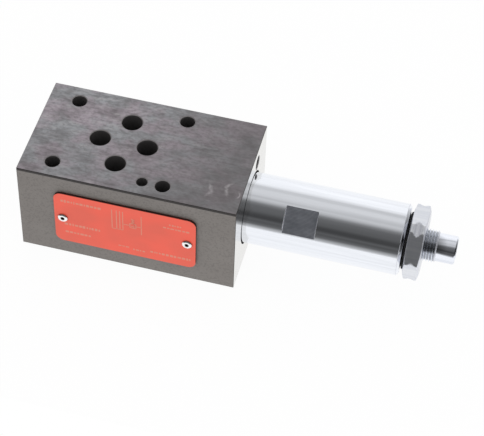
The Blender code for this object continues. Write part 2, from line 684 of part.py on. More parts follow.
def build_cartridge_body(block):
    """The body: threaded neck in the block, barrel outside, spring chamber through both."""
    outline = (
        (NECK_X, SLEEVE_SOCKET_RADIUS),
        (NECK_X, NECK_RADIUS - TAP_DRILL_STEP),
        (NECK_X + TAP_DRILL_STEP, NECK_RADIUS),
        (MOUTH_POCKET_X, NECK_RADIUS),
        (MOUTH_POCKET_X, MOUTH_NECK_RADIUS),
        (BARREL_X, MOUTH_NECK_RADIUS),
        (BARREL_X, BARREL_RADIUS - BARREL_ROOT_CHAMFER),
        (BARREL_X + BARREL_ROOT_CHAMFER, BARREL_RADIUS),
        (BARREL_END_X - BARREL_CHAMFER, BARREL_RADIUS),
        (BARREL_END_X, BARREL_RADIUS - BARREL_CHAMFER),
        (BARREL_END_X, SCREW_BORE_RADIUS),
        (SHOULDER_X, SCREW_BORE_RADIUS),
        (SHOULDER_X, CHAMBER_RADIUS),
        (CHAMBER_X, CHAMBER_RADIUS),
        (CHAMBER_X, SLEEVE_SOCKET_RADIUS),
        (SLEEVE_FLANGE_X, SLEEVE_SOCKET_RADIUS),
        (SLEEVE_FLANGE_X, SLEEVE_SOCKET_RADIUS + RETAINING_RING_DEPTH),
        (NECK_X + NECK_LIP, SLEEVE_SOCKET_RADIUS + RETAINING_RING_DEPTH),
        (NECK_X + NECK_LIP, SLEEVE_SOCKET_RADIUS),
    )
    body = on_cartridge_axis("cartridge_body", outline, END_X, ZINC_PLATE, BARREL_SEGMENTS)
    flat_middle = END_X + SPANNER_FLAT_FROM_BLOCK + SPANNER_FLAT_LENGTH / 2
    for side, angle in (("front", SPANNER_FLAT_ANGLE), ("back", SPANNER_FLAT_ANGLE + math.pi)):
        outward = Vector((0.0, math.cos(angle), math.sin(angle)))
        reach = SPANNER_WIDTH / 2 + BARREL_RADIUS
        mesh = box_mesh((SPANNER_FLAT_LENGTH, 2 * BARREL_RADIUS, 2 * BARREL_RADIUS))
        turn = Matrix.Rotation(angle, 3, "X")
        bmesh.ops.rotate(mesh, cent=(0.0, 0.0, 0.0), matrix=turn, verts=mesh.verts)
        place = Vector((flat_middle, 0.0, AXIS_Z)) + outward * reach
        boolean(body, new_object(f"cutter_spanner_flat_{side}", mesh, place))
    attach(body, block)
    return body


def build_mouth_seal(body):
    """The ring that seals the barrel's root in the mouth of the cavity."""
    half = MOUTH_SEAL_SECTION / 2
    centre = (BARREL_X - SEAL_GAP - half, MOUTH_POCKET_RADIUS - SEAL_GAP - half)
    outline = round_section(centre, half, half)
    seal = on_cartridge_axis("mouth_seal", outline, BARREL_X, NITRILE_RUBBER, BARREL_SEGMENTS)
    attach(seal, body)


def build_sleeve(body):
    """The sleeve: seat, poppet chamber, guide bore, side ports and the seal groove."""
    groove_end_x = SLEEVE_GROOVE_X + SLEEVE_GROOVE_WIDTH
    groove_radius = SLEEVE_RADIUS - SLEEVE_GROOVE_DEPTH
    outline = (
        (SLEEVE_X, SEAT_RADIUS),
        (SLEEVE_X, SLEEVE_RADIUS - SLEEVE_CHAMFER),
        (SLEEVE_X + SLEEVE_CHAMFER, SLEEVE_RADIUS),
        (SLEEVE_GROOVE_X, SLEEVE_RADIUS),
        (SLEEVE_GROOVE_X, groove_radius),
        (groove_end_x, groove_radius),
        (groove_end_x, SLEEVE_RADIUS),
        (SLEEVE_NOSE_END_X, SLEEVE_RADIUS),
        (SLEEVE_NOSE_END_X, SLEEVE_WAIST_RADIUS),
        (SLEEVE_FLANGE_X, SLEEVE_WAIST_RADIUS),
        (SLEEVE_FLANGE_X, SLEEVE_FLANGE_RADIUS),
        (SLEEVE_END_X, SLEEVE_FLANGE_RADIUS),
        (SLEEVE_END_X, GUIDE_BORE_RADIUS),
        (POPPET_CHAMBER_END_X, GUIDE_BORE_RADIUS),
        (POPPET_CHAMBER_END_X, POPPET_CHAMBER_RADIUS),
        (SEAT_X, POPPET_CHAMBER_RADIUS),
        (SEAT_X, SEAT_RADIUS),
    )
    sleeve = on_cartridge_axis("valve_sleeve", outline, SLEEVE_X, HARDENED_STEEL)
    port_radius = SLEEVE_PORT_DIAMETER / 2
    port_reach = SLEEVE_RADIUS + OVERCUT
    port_outline = (
        (-port_reach, 0.0),
        (-port_reach, port_radius),
        (port_reach, port_radius),
        (port_reach, 0.0),
    )
    port_place = (SIDE_CHAMBER_MIDDLE_X, 0.0, AXIS_Z)
    for side, direction in (("across", Y_AXIS), ("upright", Z_AXIS)):
        name = f"cutter_sleeve_port_{side}"
        boolean(sleeve, turned(name, port_outline, port_place, direction, segments=SMALL_SEGMENTS))
    attach(sleeve, body)


def build_sleeve_seals(body):
    """The seal ring and its back-up ring, side by side in the sleeve's groove."""
    inner = SLEEVE_RADIUS - SLEEVE_GROOVE_DEPTH + SEAL_GAP
    outer = NOSE_BORE_RADIUS - SEAL_GAP
    backup_end_x = SLEEVE_GROOVE_X + SLEEVE_GROOVE_WIDTH - SEAL_GAP
    backup_x = backup_end_x - BACKUP_RING_WIDTH
    seal_x = SLEEVE_GROOVE_X + SEAL_GAP
    seal_end_x = backup_x - SEAL_GAP
    centre = ((seal_x + seal_end_x) / 2, (outer + inner) / 2)
    seal_outline = round_section(centre, (seal_end_x - seal_x) / 2, (outer - inner) / 2)
    seal = on_cartridge_axis("sleeve_seal", seal_outline, SLEEVE_GROOVE_X, NITRILE_RUBBER)
    attach(seal, body)
    backup_outline = (
        (backup_x, inner),
        (backup_x, outer),
        (backup_end_x, outer),
        (backup_end_x, inner),
    )
    backup = on_cartridge_axis("sleeve_backup_ring", backup_outline, backup_end_x, WHITE_PTFE)
    attach(backup, body)


def build_retaining_ring(body):
    """An open ring of square section that snaps into the groove inside the neck."""
    inner = SLEEVE_WAIST_RADIUS + RETAINING_RING_INSIDE
    outer = SLEEVE_SOCKET_RADIUS + RETAINING_RING_DEPTH - SEAT_GAP
    mesh = bmesh.new()
    section = (
        (0.0, inner),
        (0.0, outer),
        (RETAINING_RING_WIDTH, outer),
        (RETAINING_RING_WIDTH, inner),
    )
    face = mesh.faces.new([mesh.verts.new(Vector((x, radius, 0.0)) * MM) for x, radius in section])
    bmesh.ops.spin(
        mesh,
        geom=[*face.verts, *face.edges, face],
        cent=(0.0, 0.0, 0.0),
        axis=X_AXIS,
        angle=math.tau - RETAINING_RING_OPENING,
        steps=ROUND_SEGMENTS,
    )
    bmesh.ops.recalc_face_normals(mesh, faces=mesh.faces)
    place = (RETAINING_RING_X, 0.0, AXIS_Z)
    attach(new_object("sleeve_retaining_ring", mesh, place, finish=SPRING_STEEL), body)


def build_poppet():
    """The poppet, closed on its seat, and the spring plate that sits on its tail."""
    contact_x = SEAT_X + SEAT_GAP
    tip_radius = SEAT_RADIUS - POPPET_TIP_INSIDE_SEAT
    cone_radius = SEAT_RADIUS + POPPET_CONE_OUTSIDE_SEAT
    neck_radius = cone_radius - POPPET_NECK_STEP
    guide_radius = GUIDE_BORE_RADIUS - RUNNING_GAP
    tail_radius = POPPET_TAIL_DIAMETER / 2
    tail_end_x = GUIDE_END_X + POPPET_TAIL_LENGTH
    cone_end_x = contact_x + POPPET_CONE_OUTSIDE_SEAT
    outline = (
        (contact_x - POPPET_TIP_INSIDE_SEAT, 0.0),
        (contact_x - POPPET_TIP_INSIDE_SEAT, tip_radius),
        (cone_end_x, cone_radius),
        (cone_end_x + POPPET_NECK_STEP, neck_radius),
        (POPPET_CHAMBER_END_X - POPPET_NECK_STEP, neck_radius),
        (POPPET_CHAMBER_END_X - POPPET_NECK_STEP, guide_radius),
        (GUIDE_END_X, guide_radius),
        (GUIDE_END_X, tail_radius),
        (tail_end_x, tail_radius),
        (tail_end_x, 0.0),
    )
    poppet = on_cartridge_axis("poppet", outline, SEAT_X, HARDENED_STEEL)
    recess_radius = tail_radius + SEAT_GAP
    recess_end_x = tail_end_x + SEAT_GAP
    boss_end_x = SPRING_PLATE_FACE_X + PLATE_BOSS_LENGTH
    plate_outline = (
        (recess_end_x, 0.0),
        (recess_end_x, recess_radius),
        (SPRING_PLATE_X, recess_radius),
        (SPRING_PLATE_X, CHAMBER_RADIUS - SPRING_GAP),
        (SPRING_PLATE_FACE_X, CHAMBER_RADIUS - SPRING_GAP),
        (SPRING_PLATE_FACE_X, SPRING_BOSS_RADIUS),
        (boss_end_x, SPRING_BOSS_RADIUS),
        (boss_end_x, 0.0),
    )
    plate = on_cartridge_axis("spring_plate", plate_outline, SPRING_PLATE_X, GROUND_STEEL)
    attach(plate, poppet)


def coil_station(turn, length):
    """How far along the spring the wire's centre lies after some turns.

    The end coils lie a wire apart, and the coils between share what is left.
    """
    closed_pitch = SPRING_WIRE + SPRING_COIL_GAP
    open_coils = SPRING_COILS - 2 * SPRING_END_COILS
    open_pitch = (length - SPRING_WIRE - 2 * SPRING_END_COILS * closed_pitch) / open_coils
    first = min(turn, SPRING_END_COILS) * closed_pitch
    middle = min(max(turn - SPRING_END_COILS, 0.0), open_coils) * open_pitch
    last = max(turn - SPRING_END_COILS - open_coils, 0.0) * closed_pitch
    return SPRING_WIRE / 2 + first + middle + last


def build_spring(body):
    """The main spring, wound round X between the spring plate and the piston's shoulder."""
    start_x = SPRING_PLATE_FACE_X + SEAT_GAP
    length = PISTON_X - SEAT_GAP - start_x
    curve = bpy.data.curves.new("main_spring", "CURVE")
    curve.dimensions = "3D"
    curve.bevel_depth = SPRING_WIRE / 2 * MM
    curve.bevel_resolution = WIRE_RESOLUTION
    curve.use_fill_caps = True
    steps = round(SPRING_COILS * COIL_SEGMENTS)
    wire = curve.splines.new("POLY")
    wire.points.add(steps)
    for index, point in enumerate(wire.points):
        turn = SPRING_COILS * index / steps
        angle = math.tau * turn
        across = SPRING_MEAN_RADIUS * math.cos(angle)
        upright = SPRING_MEAN_RADIUS * math.sin(angle)
        point.co = (*(Vector((coil_station(turn, length), across, upright)) * MM), 1.0)
    spring = bpy.data.objects.new("main_spring", curve)
    spring.location = Vector((start_x, 0.0, AXIS_Z)) * MM
    bpy.context.scene.collection.objects.link(spring)
    curve.materials.append(finish_material("main_spring", SPRING_STEEL))
    attach(spring, body)


def build_adjuster():
    """The adjuster piston that the screw pushes, with its seal."""
    recess_radius = SCREW_TIP_DIAMETER / 2 + RUNNING_GAP
    recess_x = PISTON_END_X - PISTON_RECESS_DEPTH
    groove_end_x = PISTON_END_X - PISTON_GROOVE_FROM_END
    groove_x = groove_end_x - PISTON_GROOVE_WIDTH
    groove_radius = PISTON_RADIUS - PISTON_GROOVE_DEPTH
    boss_x = PISTON_X - PISTON_BOSS_LENGTH
    outline = (
        (boss_x, 0.0),
        (boss_x, SPRING_BOSS_RADIUS - PISTON_CHAMFER),
        (boss_x + PISTON_CHAMFER, SPRING_BOSS_RADIUS),
        (PISTON_X, SPRING_BOSS_RADIUS),
        (PISTON_X, PISTON_RADIUS - PISTON_CHAMFER),
        (PISTON_X + PISTON_CHAMFER, PISTON_RADIUS),
        (groove_x, PISTON_RADIUS),
        (groove_x, groove_radius),
        (groove_end_x, groove_radius),
        (groove_end_x, PISTON_RADIUS),
        (PISTON_END_X - PISTON_CHAMFER, PISTON_RADIUS),
        (PISTON_END_X, PISTON_RADIUS - PISTON_CHAMFER),
        (PISTON_END_X, recess_radius),
        (recess_x, recess_radius),
        (recess_x, 0.0),
    )
    piston = on_cartridge_axis("adjuster_piston", outline, PISTON_X, GROUND_STEEL)
    seal_outer = CHAMBER_RADIUS - SEAL_GAP
    seal_inner = groove_radius + SEAL_GAP
    centre = (groove_x + PISTON_GROOVE_WIDTH / 2, (seal_outer + seal_inner) / 2)
    half_width = PISTON_GROOVE_WIDTH / 2 - SEAL_GAP
    seal_outline = round_section(centre, half_width, (seal_outer - seal_inner) / 2)
    seal = on_cartridge_axis("adjuster_seal", seal_outline, groove_x, NITRILE_RUBBER)
    attach(seal, piston)
    return piston


def build_adjusting_screw(piston):
    """The screw: tip, stop collar, thread and the smooth end with its hexagon socket."""
    tip_radius = SCREW_TIP_DIAMETER / 2
    pin_radius = SCREW_PIN_DIAMETER / 2
    outline = (
        (SCREW_TIP_X, 0.0),
        (SCREW_TIP_X, tip_radius - SCREW_TIP_CHAMFER),
        (SCREW_TIP_X + SCREW_TIP_CHAMFER, tip_radius),
        (COLLAR_X, tip_radius),
        (COLLAR_X, SCREW_THREAD_RADIUS + SCREW_COLLAR_STEP),
        (COLLAR_END_X, SCREW_THREAD_RADIUS + SCREW_COLLAR_STEP),
        (COLLAR_END_X, SCREW_THREAD_RADIUS),
        (THREAD_END_X - SCREW_THREAD_CHAMFER, SCREW_THREAD_RADIUS),
        (THREAD_END_X, pin_radius),
        (PIN_END_X - SCREW_PIN_CHAMFER, pin_radius),
        (PIN_END_X, pin_radius - SCREW_PIN_CHAMFER),
        (PIN_END_X, 0.0),
    )
    screw = on_cartridge_axis("adjusting_screw", outline, BARREL_END_X, ZINC_PLATE)
    socket = hexagon_mesh(SOCKET_MOUTH_RADIUS, SOCKET_DEPTH + OVERCUT)
    boolean(screw, new_object("cutter_socket", socket, (PIN_END_X - SOCKET_DEPTH, 0.0, AXIS_Z)))
    attach(screw, piston)


def build_lock_nut():
    """The seal washer and the lock nut, which is chamfered on both faces."""
    washer_bore = SCREW_BORE_RADIUS
    washer_outline = (
        (NUT_SEAL_X, washer_bore),
        (NUT_SEAL_X, NUT_SEAL_DIAMETER / 2),
        (NUT_SEAL_X + NUT_SEAL_THICKNESS, NUT_SEAL_DIAMETER / 2),
        (NUT_SEAL_X + NUT_SEAL_THICKNESS, washer_bore),
    )
    washer = on_cartridge_axis("nut_seal", washer_outline, NUT_SEAL_X, NITRILE_RUBBER)
    face_radius = NUT_WIDTH / 2 - NUT_FACE_INSET
    blank_radius = NUT_CORNER_RADIUS + RUNNING_GAP
    chamfer_length = (blank_radius - face_radius) * math.tan(NUT_CHAMFER_ANGLE)
    outline = (
        (NUT_X, SCREW_BORE_RADIUS + NUT_BORE_CHAMFER),
        (NUT_X, face_radius),
        (NUT_X + chamfer_length, blank_radius),
        (NUT_END_X - chamfer_length, blank_radius),
        (NUT_END_X, face_radius),
        (NUT_END_X, SCREW_BORE_RADIUS + NUT_BORE_CHAMFER),
        (NUT_END_X - NUT_BORE_CHAMFER, SCREW_BORE_RADIUS),
        (NUT_X + NUT_BORE_CHAMFER, SCREW_BORE_RADIUS),
    )
    nut = on_cartridge_axis("lock_nut", outline, NUT_X, ZINC_PLATE)
    hexagon = hexagon_mesh(NUT_CORNER_RADIUS, NUT_THICKNESS + 2 * OVERCUT, NUT_CORNER_ANGLE)
    place = (NUT_X - OVERCUT, 0.0, AXIS_Z)
    boolean(nut, new_object("cutter_nut_hexagon", hexagon, place), "INTERSECT")
    attach(nut, washer)


def main():
    """Builds the block and what is fixed to it, then the pieces that move."""
    clear_scene()
    block = build_block()
    build_name_plate(block)
    build_rivets(block)
    build_port_seals(block)
    build_gallery_plug(block)
    body = build_cartridge_body(block)
    build_mouth_seal(body)
    build_sleeve(body)
    build_sleeve_seals(body)
    build_retaining_ring(body)
    build_spring(body)
    build_poppet()
    piston = build_adjuster()
    build_adjusting_screw(piston)
    build_lock_nut()


main()
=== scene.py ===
"""Looks of a size 6 hydraulic sandwich valve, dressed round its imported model.

The block stands on its mounting face at z = 0, and the cartridge's axis runs along +X. Sizes
are millimetres, and MM turns them into metres where a mesh is written. Every round piece is a
grid of points: a profile of (x, radius) corners, carried round an axis.
"""

import logging
import math
from collections.abc import Iterable, Sequence
from dataclasses import dataclass, replace
from enum import Enum

import bmesh
import bpy
import numpy as np
from mathutils import Matrix, Vector


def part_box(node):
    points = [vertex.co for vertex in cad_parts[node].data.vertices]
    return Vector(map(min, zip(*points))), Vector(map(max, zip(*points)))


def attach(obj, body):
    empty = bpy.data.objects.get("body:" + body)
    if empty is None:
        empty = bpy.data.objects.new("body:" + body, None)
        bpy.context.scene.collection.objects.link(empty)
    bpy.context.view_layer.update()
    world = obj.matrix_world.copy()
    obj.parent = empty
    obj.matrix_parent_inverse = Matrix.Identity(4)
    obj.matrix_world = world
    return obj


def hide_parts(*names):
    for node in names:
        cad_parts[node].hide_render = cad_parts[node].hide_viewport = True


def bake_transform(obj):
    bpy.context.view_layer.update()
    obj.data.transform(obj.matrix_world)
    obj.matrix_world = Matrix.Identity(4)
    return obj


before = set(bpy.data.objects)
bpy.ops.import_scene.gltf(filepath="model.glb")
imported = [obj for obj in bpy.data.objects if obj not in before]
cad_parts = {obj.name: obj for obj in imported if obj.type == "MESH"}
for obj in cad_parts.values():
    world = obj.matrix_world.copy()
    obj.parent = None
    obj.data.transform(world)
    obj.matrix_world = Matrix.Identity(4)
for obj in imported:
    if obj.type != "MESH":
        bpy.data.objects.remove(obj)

MM = 0.001
PHOTO_WIDTH = 484
SENSOR_WIDTH = 36.0
WELD_DISTANCE = 2e-7
COLUMNS = 180
SMALL_COLUMNS = 72
CORNER_STEPS = 4
SUPPORT_REACH = 1.6
SECTION_STEPS = 40
NOISE_ROUGHNESS = 0.55
GLOSS_RANGE = (0.3, 0.7)

# A Mix node's sockets for colours, and a Map Range node's in the order of two (old, new) pairs.
MIX_FACTOR = 0
MIX_A = 6
MIX_B = 7
MIX_RESULT = 2
RANGE_INPUTS = ("From Min", "To Min", "From Max", "To Max")

# The faces of a box whose corners count up through x, then y, then z, the last one fastest.
BOX_QUADS = ((0, 1, 3, 2), (4, 6, 7, 5), (0, 4, 5, 1), (2, 3, 7, 6), (0, 2, 6, 4), (1, 5, 7, 3))

# An axis's directions: along, across and upright.
UPWARDS = ((0, 0, 1), (1, 0, 0), (0, 1, 0))
DOWNWARDS = ((0, 0, -1), (1, 0, 0), (0, 1, 0))
FORWARDS = ((0, -1, 0), (1, 0, 0), (0, 0, 1))

log = logging.getLogger("sandwich_valve")

Point = tuple[float, float]
Place = tuple[float, float, float]
Colour = tuple[float, float, float, float]
Nodes = bpy.types.NodeTree
Shader = bpy.types.Node
Socket = bpy.types.NodeSocket
Piece = bpy.types.Object
Coat = tuple[Socket, Point, Point, str]
Reach = float | np.ndarray


def linear(code: str) -> Colour:
    """Turns an sRGB hex colour into linear red, green, blue and alpha.

    Args:
        code: six hex digits, such as "82797D".

    Returns:
        The four linear values, with alpha 1.
    """
    channels = [int(code[start:start + 2], 16) / 255 for start in (0, 2, 4)]
    toned = [c / 12.92 if c <= 0.04045 else ((c + 0.055) / 1.055) ** 2.4 for c in channels]
    return (*toned, 1.0)


def add_node(tree: Nodes, kind: str, inputs: dict | None = None, **settings) -> Shader:
    """Adds a shader node with its settings, values and links.

    Args:
        tree: the node tree to add to.
        kind: the node's type without its ShaderNode prefix.
        inputs: for each input's name or number, a value, or an output socket to link.
        settings: the node's own settings by name.

    Returns:
        The new node.
    """
    made = tree.nodes.new("ShaderNode" + kind)
    for name, value in settings.items():
        setattr(made, name, value)
    for key, value in (inputs or {}).items():
        if isinstance(value, Socket):
            tree.links.new(value, made.inputs[key])
        else:
            made.inputs[key].default_value = value
    return made


def span(value: Socket, low: Point, high: Point) -> dict:
    """The inputs of a Map Range node, which takes low's first number to its second, and high's."""
    return {"Value": value, **dict(zip(RANGE_INPUTS, (*low, *high)))}


@dataclass(frozen=True)
class Axis:
    """A line that a round piece is turned about.

    Attributes:
        origin: the point where the profile's x is 0, in mm.
        along: the direction of the profile's x.
        across: the direction of angle 0.
        upright: the direction of a quarter turn.
    """

    origin: Place
    along: Place = (1.0, 0.0, 0.0)
    across: Place = (0.0, 1.0, 0.0)
    upright: Place = (0.0, 0.0, 1.0)

    def carry(self, profile: np.ndarray, angles: np.ndarray) -> np.ndarray:
        """Carries a profile round the axis.

        A corner at (x, r) goes to origin + x along + r cos(angle) across + r sin(angle) upright.

        Args:
            profile: corners as (row, column, 2), with one column or one for each angle.
            angles: the columns' angles in radians.

        Returns:
            Points in mm as (row, column, 3).
        """
        x = profile[..., 0:1]
        radius = profile[..., 1:2]
        turn = angles[None, :, None]
        return (
            np.array(self.origin)
            + x * np.array(self.along)
            + radius * np.cos(turn) * np.array(self.across)
            + radius * np.sin(turn) * np.array(self.upright)
        )


def full_turn(columns: int, extra: Iterable[float] = ()) -> np.ndarray:
    """Angles of one closed turn, evenly spaced, with others put in among them.

    Args:
        columns: how many even steps the turn has.
        extra: more angles in radians, of any turn.

    Returns:
        Sorted angles from 0 to a full turn, both ends kept.
    """
    even = np.linspace(0.0, math.tau, columns + 1)
    more = np.mod(np.array(list(extra), dtype=float), math.tau)
    return np.unique(np.round(np.concatenate([even, more]), 9))


def softened(corners: Sequence[Point] | np.ndarray, reach: float, closed: bool = False) -> np.ndarray:
    """Rounds a profile's corners, and puts a supporting row on each side of every round.

    A corner p, met along the unit direction a and left along b, becomes the curve
    (1 - s)^2 (p - t a) + 2 s (1 - s) p + s^2 (p + t b) for s from 0 to 1. The reach t is held
    to under a third of the shorter side, so that neighbouring rounds never cross.

    Args:
        corners: the profile as (corner, 2) or (corner, column, 2).
        reach: how far from a corner its round starts, in mm.
        closed: whether the last corner joins the first.

    Returns:
        The rounded profile as (row, column, 2).
    """
    p = np.array(corners, dtype=float)
    if p.ndim == 2:
        p = p[:, None, :]
    arriving = p - np.roll(p, 1, axis=0)
    leaving = np.roll(p, -1, axis=0) - p
    arriving_length = np.linalg.norm(arriving, axis=-1, keepdims=True)
    leaving_length = np.linalg.norm(leaving, axis=-1, keepdims=True)
    t = np.minimum(reach, np.minimum(arriving_length, leaving_length) * 0.3)
    if not closed:
        t[0] = 0.0
        t[-1] = 0.0
    tiny = 1e-9
    a = arriving / np.maximum(arriving_length, tiny)
    b = leaving / np.maximum(leaving_length, tiny)
    s = np.linspace(0.0, 1.0, CORNER_STEPS + 1)[None, :, None, None]
    p, a, b, t = (part[:, None] for part in (p, a, b, t))
    curve = (1 - s) ** 2 * (p - t * a) + 2 * s * (1 - s) * p + s**2 * (p + t * b)
    rows = np.concatenate([p - SUPPORT_REACH * t * a, curve, p + SUPPORT_REACH * t * b], axis=1)
    rows = rows.reshape(-1, rows.shape[2], 2)
    if closed:
        rows = np.concatenate([rows, rows[:1]])
    return rows


def per_angle(corners: Sequence[tuple[Reach, Reach]], angles: np.ndarray) -> np.ndarray:
    """Gives each corner of a profile one column for each angle.

    Args:
        corners: (x, radius) corners in mm, where either can be one number for each angle.
        angles: the columns' angles in radians.

    Returns:
        The corners as (corner, column, 2).
    """
    columns = [np.broadcast_arrays(x, radius, angles)[:2] for x, radius in corners]
    return np.moveaxis(np.array(columns), 1, -1)


def box_corners(sides: Sequence[Point]) -> np.ndarray:
    """A box's eight corners: every choice of one of two values for each axis.

    Args:
        sides: the two values for each of the three axes.

    Returns:
        The corners as (8, 3), in the order that BOX_QUADS counts them.
    """
    return np.stack(np.meshgrid(*sides, indexing="ij"), axis=-1).reshape(-1, 3).astype(float)


def mend(mesh: bpy.types.Mesh, weld: bool = False, fill: bool = False) -> None:
    """Points a mesh's faces out, after its doubles are welded and its holes are filled.

    Args:
        mesh: the mesh, in metres.
        weld: whether doubles are welded.
        fill: whether open edges are closed with one face each.
    """
    edit = bmesh.new()
    edit.from_mesh(mesh)
    if weld:
        bmesh.ops.remove_doubles(edit, verts=edit.verts, dist=WELD_DISTANCE)
        bmesh.ops.dissolve_degenerate(edit, edges=edit.edges, dist=WELD_DISTANCE)
    if fill:
        bmesh.ops.holes_fill(edit, edges=[edge for edge in edit.edges if edge.is_boundary], sides=0)
    bmesh.ops.recalc_face_normals(edit, faces=edit.faces)
    edit.to_mesh(mesh)
    edit.free()


def placed(name: str, points: np.ndarray, quads: np.ndarray, weld: bool = True) -> Piece:
    """Makes a mesh of points and quads, and puts it in the scene.

    Args:
        name: the piece's name.
        points: the points in mm as (point, 3).
        quads: each face's four point numbers.
        weld: whether doubles are welded, after which the piece is shaded smooth.

    Returns:
        The object, at the origin, with its faces pointing out.
    """
    mesh = bpy.data.meshes.new(name)
    mesh.from_pydata(points * MM, [], quads)
    mend(mesh, weld=weld)
    if weld:
        mesh.shade_smooth()
    made = bpy.data.objects.new(name, mesh)
    bpy.context.scene.collection.objects.link(made)
    return made


def surface(name: str, points: np.ndarray) -> Piece:
    """Makes a smooth mesh from a grid of points, welded where its rows or columns meet.

    Args:
        name: the piece's name.
        points: the grid in mm as (row, column, 3).

    Returns:
        The object, at the origin, with its faces pointing out.
    """
    rows, columns = points.shape[:2]
    number = np.arange(rows * columns).reshape(rows, columns)
    quads = np.stack([number[:-1, :-1], number[:-1, 1:], number[1:, 1:], number[1:, :-1]], axis=-1)
    return placed(name, points.reshape(-1, 3), quads.reshape(-1, 4).tolist())


def turned(
    name: str,
    corners: Sequence[Point],
    axis: Axis,
    reach: float,
    closed: bool = False,
    columns: int = COLUMNS,
) -> Piece:
    """A piece turned from one profile.

    Args:
        name: the piece's name.
        corners: (x, radius) corners in mm.
        axis: what it is turned about.
        reach: how far its corners are rounded.
        closed: whether the profile is a closed section, as a ring's is.
        columns: how many columns the turn has.

    Returns:
        The object.
    """
    return surface(name, axis.carry(softened(corners, reach, closed), full_turn(columns)))


def drilled(piece: Piece, cuts: Iterable[tuple[str, Sequence[Point], Axis, int]], sharp: float) -> None:
    """Cuts turned bodies out of a piece for good. Its flats stay flat and its edges sharp.

    Args:
        piece: what is cut. Modifiers that it has are applied first, and its materials go.
        cuts: each cut's name, (x, radius) corners, axis and number of columns.
        sharp: the angle in degrees past which an edge is sharp.
    """
    tools = []
    for name, corners, axis, columns in cuts:
        tools.append(turned(f"cut_{name}", corners, axis, 0.0, columns=columns))
    for tool in tools:
        step = piece.modifiers.new(tool.name, "BOOLEAN")
        step.solver = "EXACT"
        step.object = tool
    graph = bpy.context.evaluated_depsgraph_get()
    mesh = bpy.data.meshes.new_from_object(piece.evaluated_get(graph))
    piece.modifiers.clear()
    piece.data = mesh
    for tool in tools:
        bpy.data.objects.remove(tool, do_unlink=True)
    mesh.materials.clear()
    mesh.shade_smooth()
    mesh.set_sharp_from_angle(angle=math.radians(sharp))
    weighted = piece.modifiers.new("flat_faces_stay_flat", "WEIGHTED_NORMAL")
    weighted.keep_sharp = True


def round_section(centre: Point, half_width: float, half_depth: float, squareness: float) -> list[Point]:
    """A seal ring's section: |across|^n + |along|^n = 1, which is an ellipse where n is 2.

    Args:
        centre: the section's (x, radius) centre.
        half_width: its reach along x.
        half_depth: its reach along the radius.
        squareness: the power n.

    Returns:
        Its (x, radius) points.
    """
    angle = np.linspace(0.0, math.tau, SECTION_STEPS, endpoint=False)
    across = np.cos(angle)
    along = np.sin(angle)
    shrink = (np.abs(across) ** squareness + np.abs(along) ** squareness) ** (1 / squareness)
    x = centre[0] + half_width * across / shrink
    radius = centre[1] + half_depth * along / shrink
    return list(zip(x.tolist(), radius.tolist()))


def extent(node: str) -> tuple[np.ndarray, np.ndarray, np.ndarray]:
    """A solid's lowest corner, highest corner and middle, in mm."""
    low, high = (np.array(corner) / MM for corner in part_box(node))
    return low, high, (low + high) / 2


def cartridge_axis() -> Axis:
    """The cartridge's axis, half way up the block."""
    return Axis((0.0, 0.0, float(extent("valve_block")[2][2])))


def faces_of(mesh: bpy.types.Mesh) -> tuple[np.ndarray, np.ndarray]:
    """Reads every face's centre in mm and its outward direction.

    Args:
        mesh: the mesh, in metres.

    Returns:
        The centres and the directions, each as (face, 3).
    """
    centre = np.empty(len(mesh.polygons) * 3)
    normal = np.empty(len(mesh.polygons) * 3)
    mesh.polygons.foreach_get("center", centre)
    mesh.polygons.foreach_get("normal", normal)
    return centre.reshape(-1, 3) / MM, normal.reshape(-1, 3)


def settle(
    piece: Piece,
    finishes: Sequence["Finish"],
    body: str,
    slot: str,
    *nodes: str,
    kinds: np.ndarray | None = None,
) -> None:
    """Dresses a piece, puts it on its body and says which nodes it stands for.

    Args:
        piece: the finished mesh object.
        finishes: its finishes.
        body: the body that it moves with.
        slot: the record's material slot; not used.
        nodes: the nodes that it replaces.
        kinds: which finish each face has, by number, where they aren't all alike.
    """
    if kinds is not None:
        piece.data.polygons.foreach_set("material_index", kinds.astype(np.int32))
    for finish in finishes:
        piece.data.materials.append(finish.material())
    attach(piece, body)
    if nodes:
        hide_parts(*nodes)
    log.info("%s rides on %s: %d faces", piece.name, body, len(piece.data.polygons))


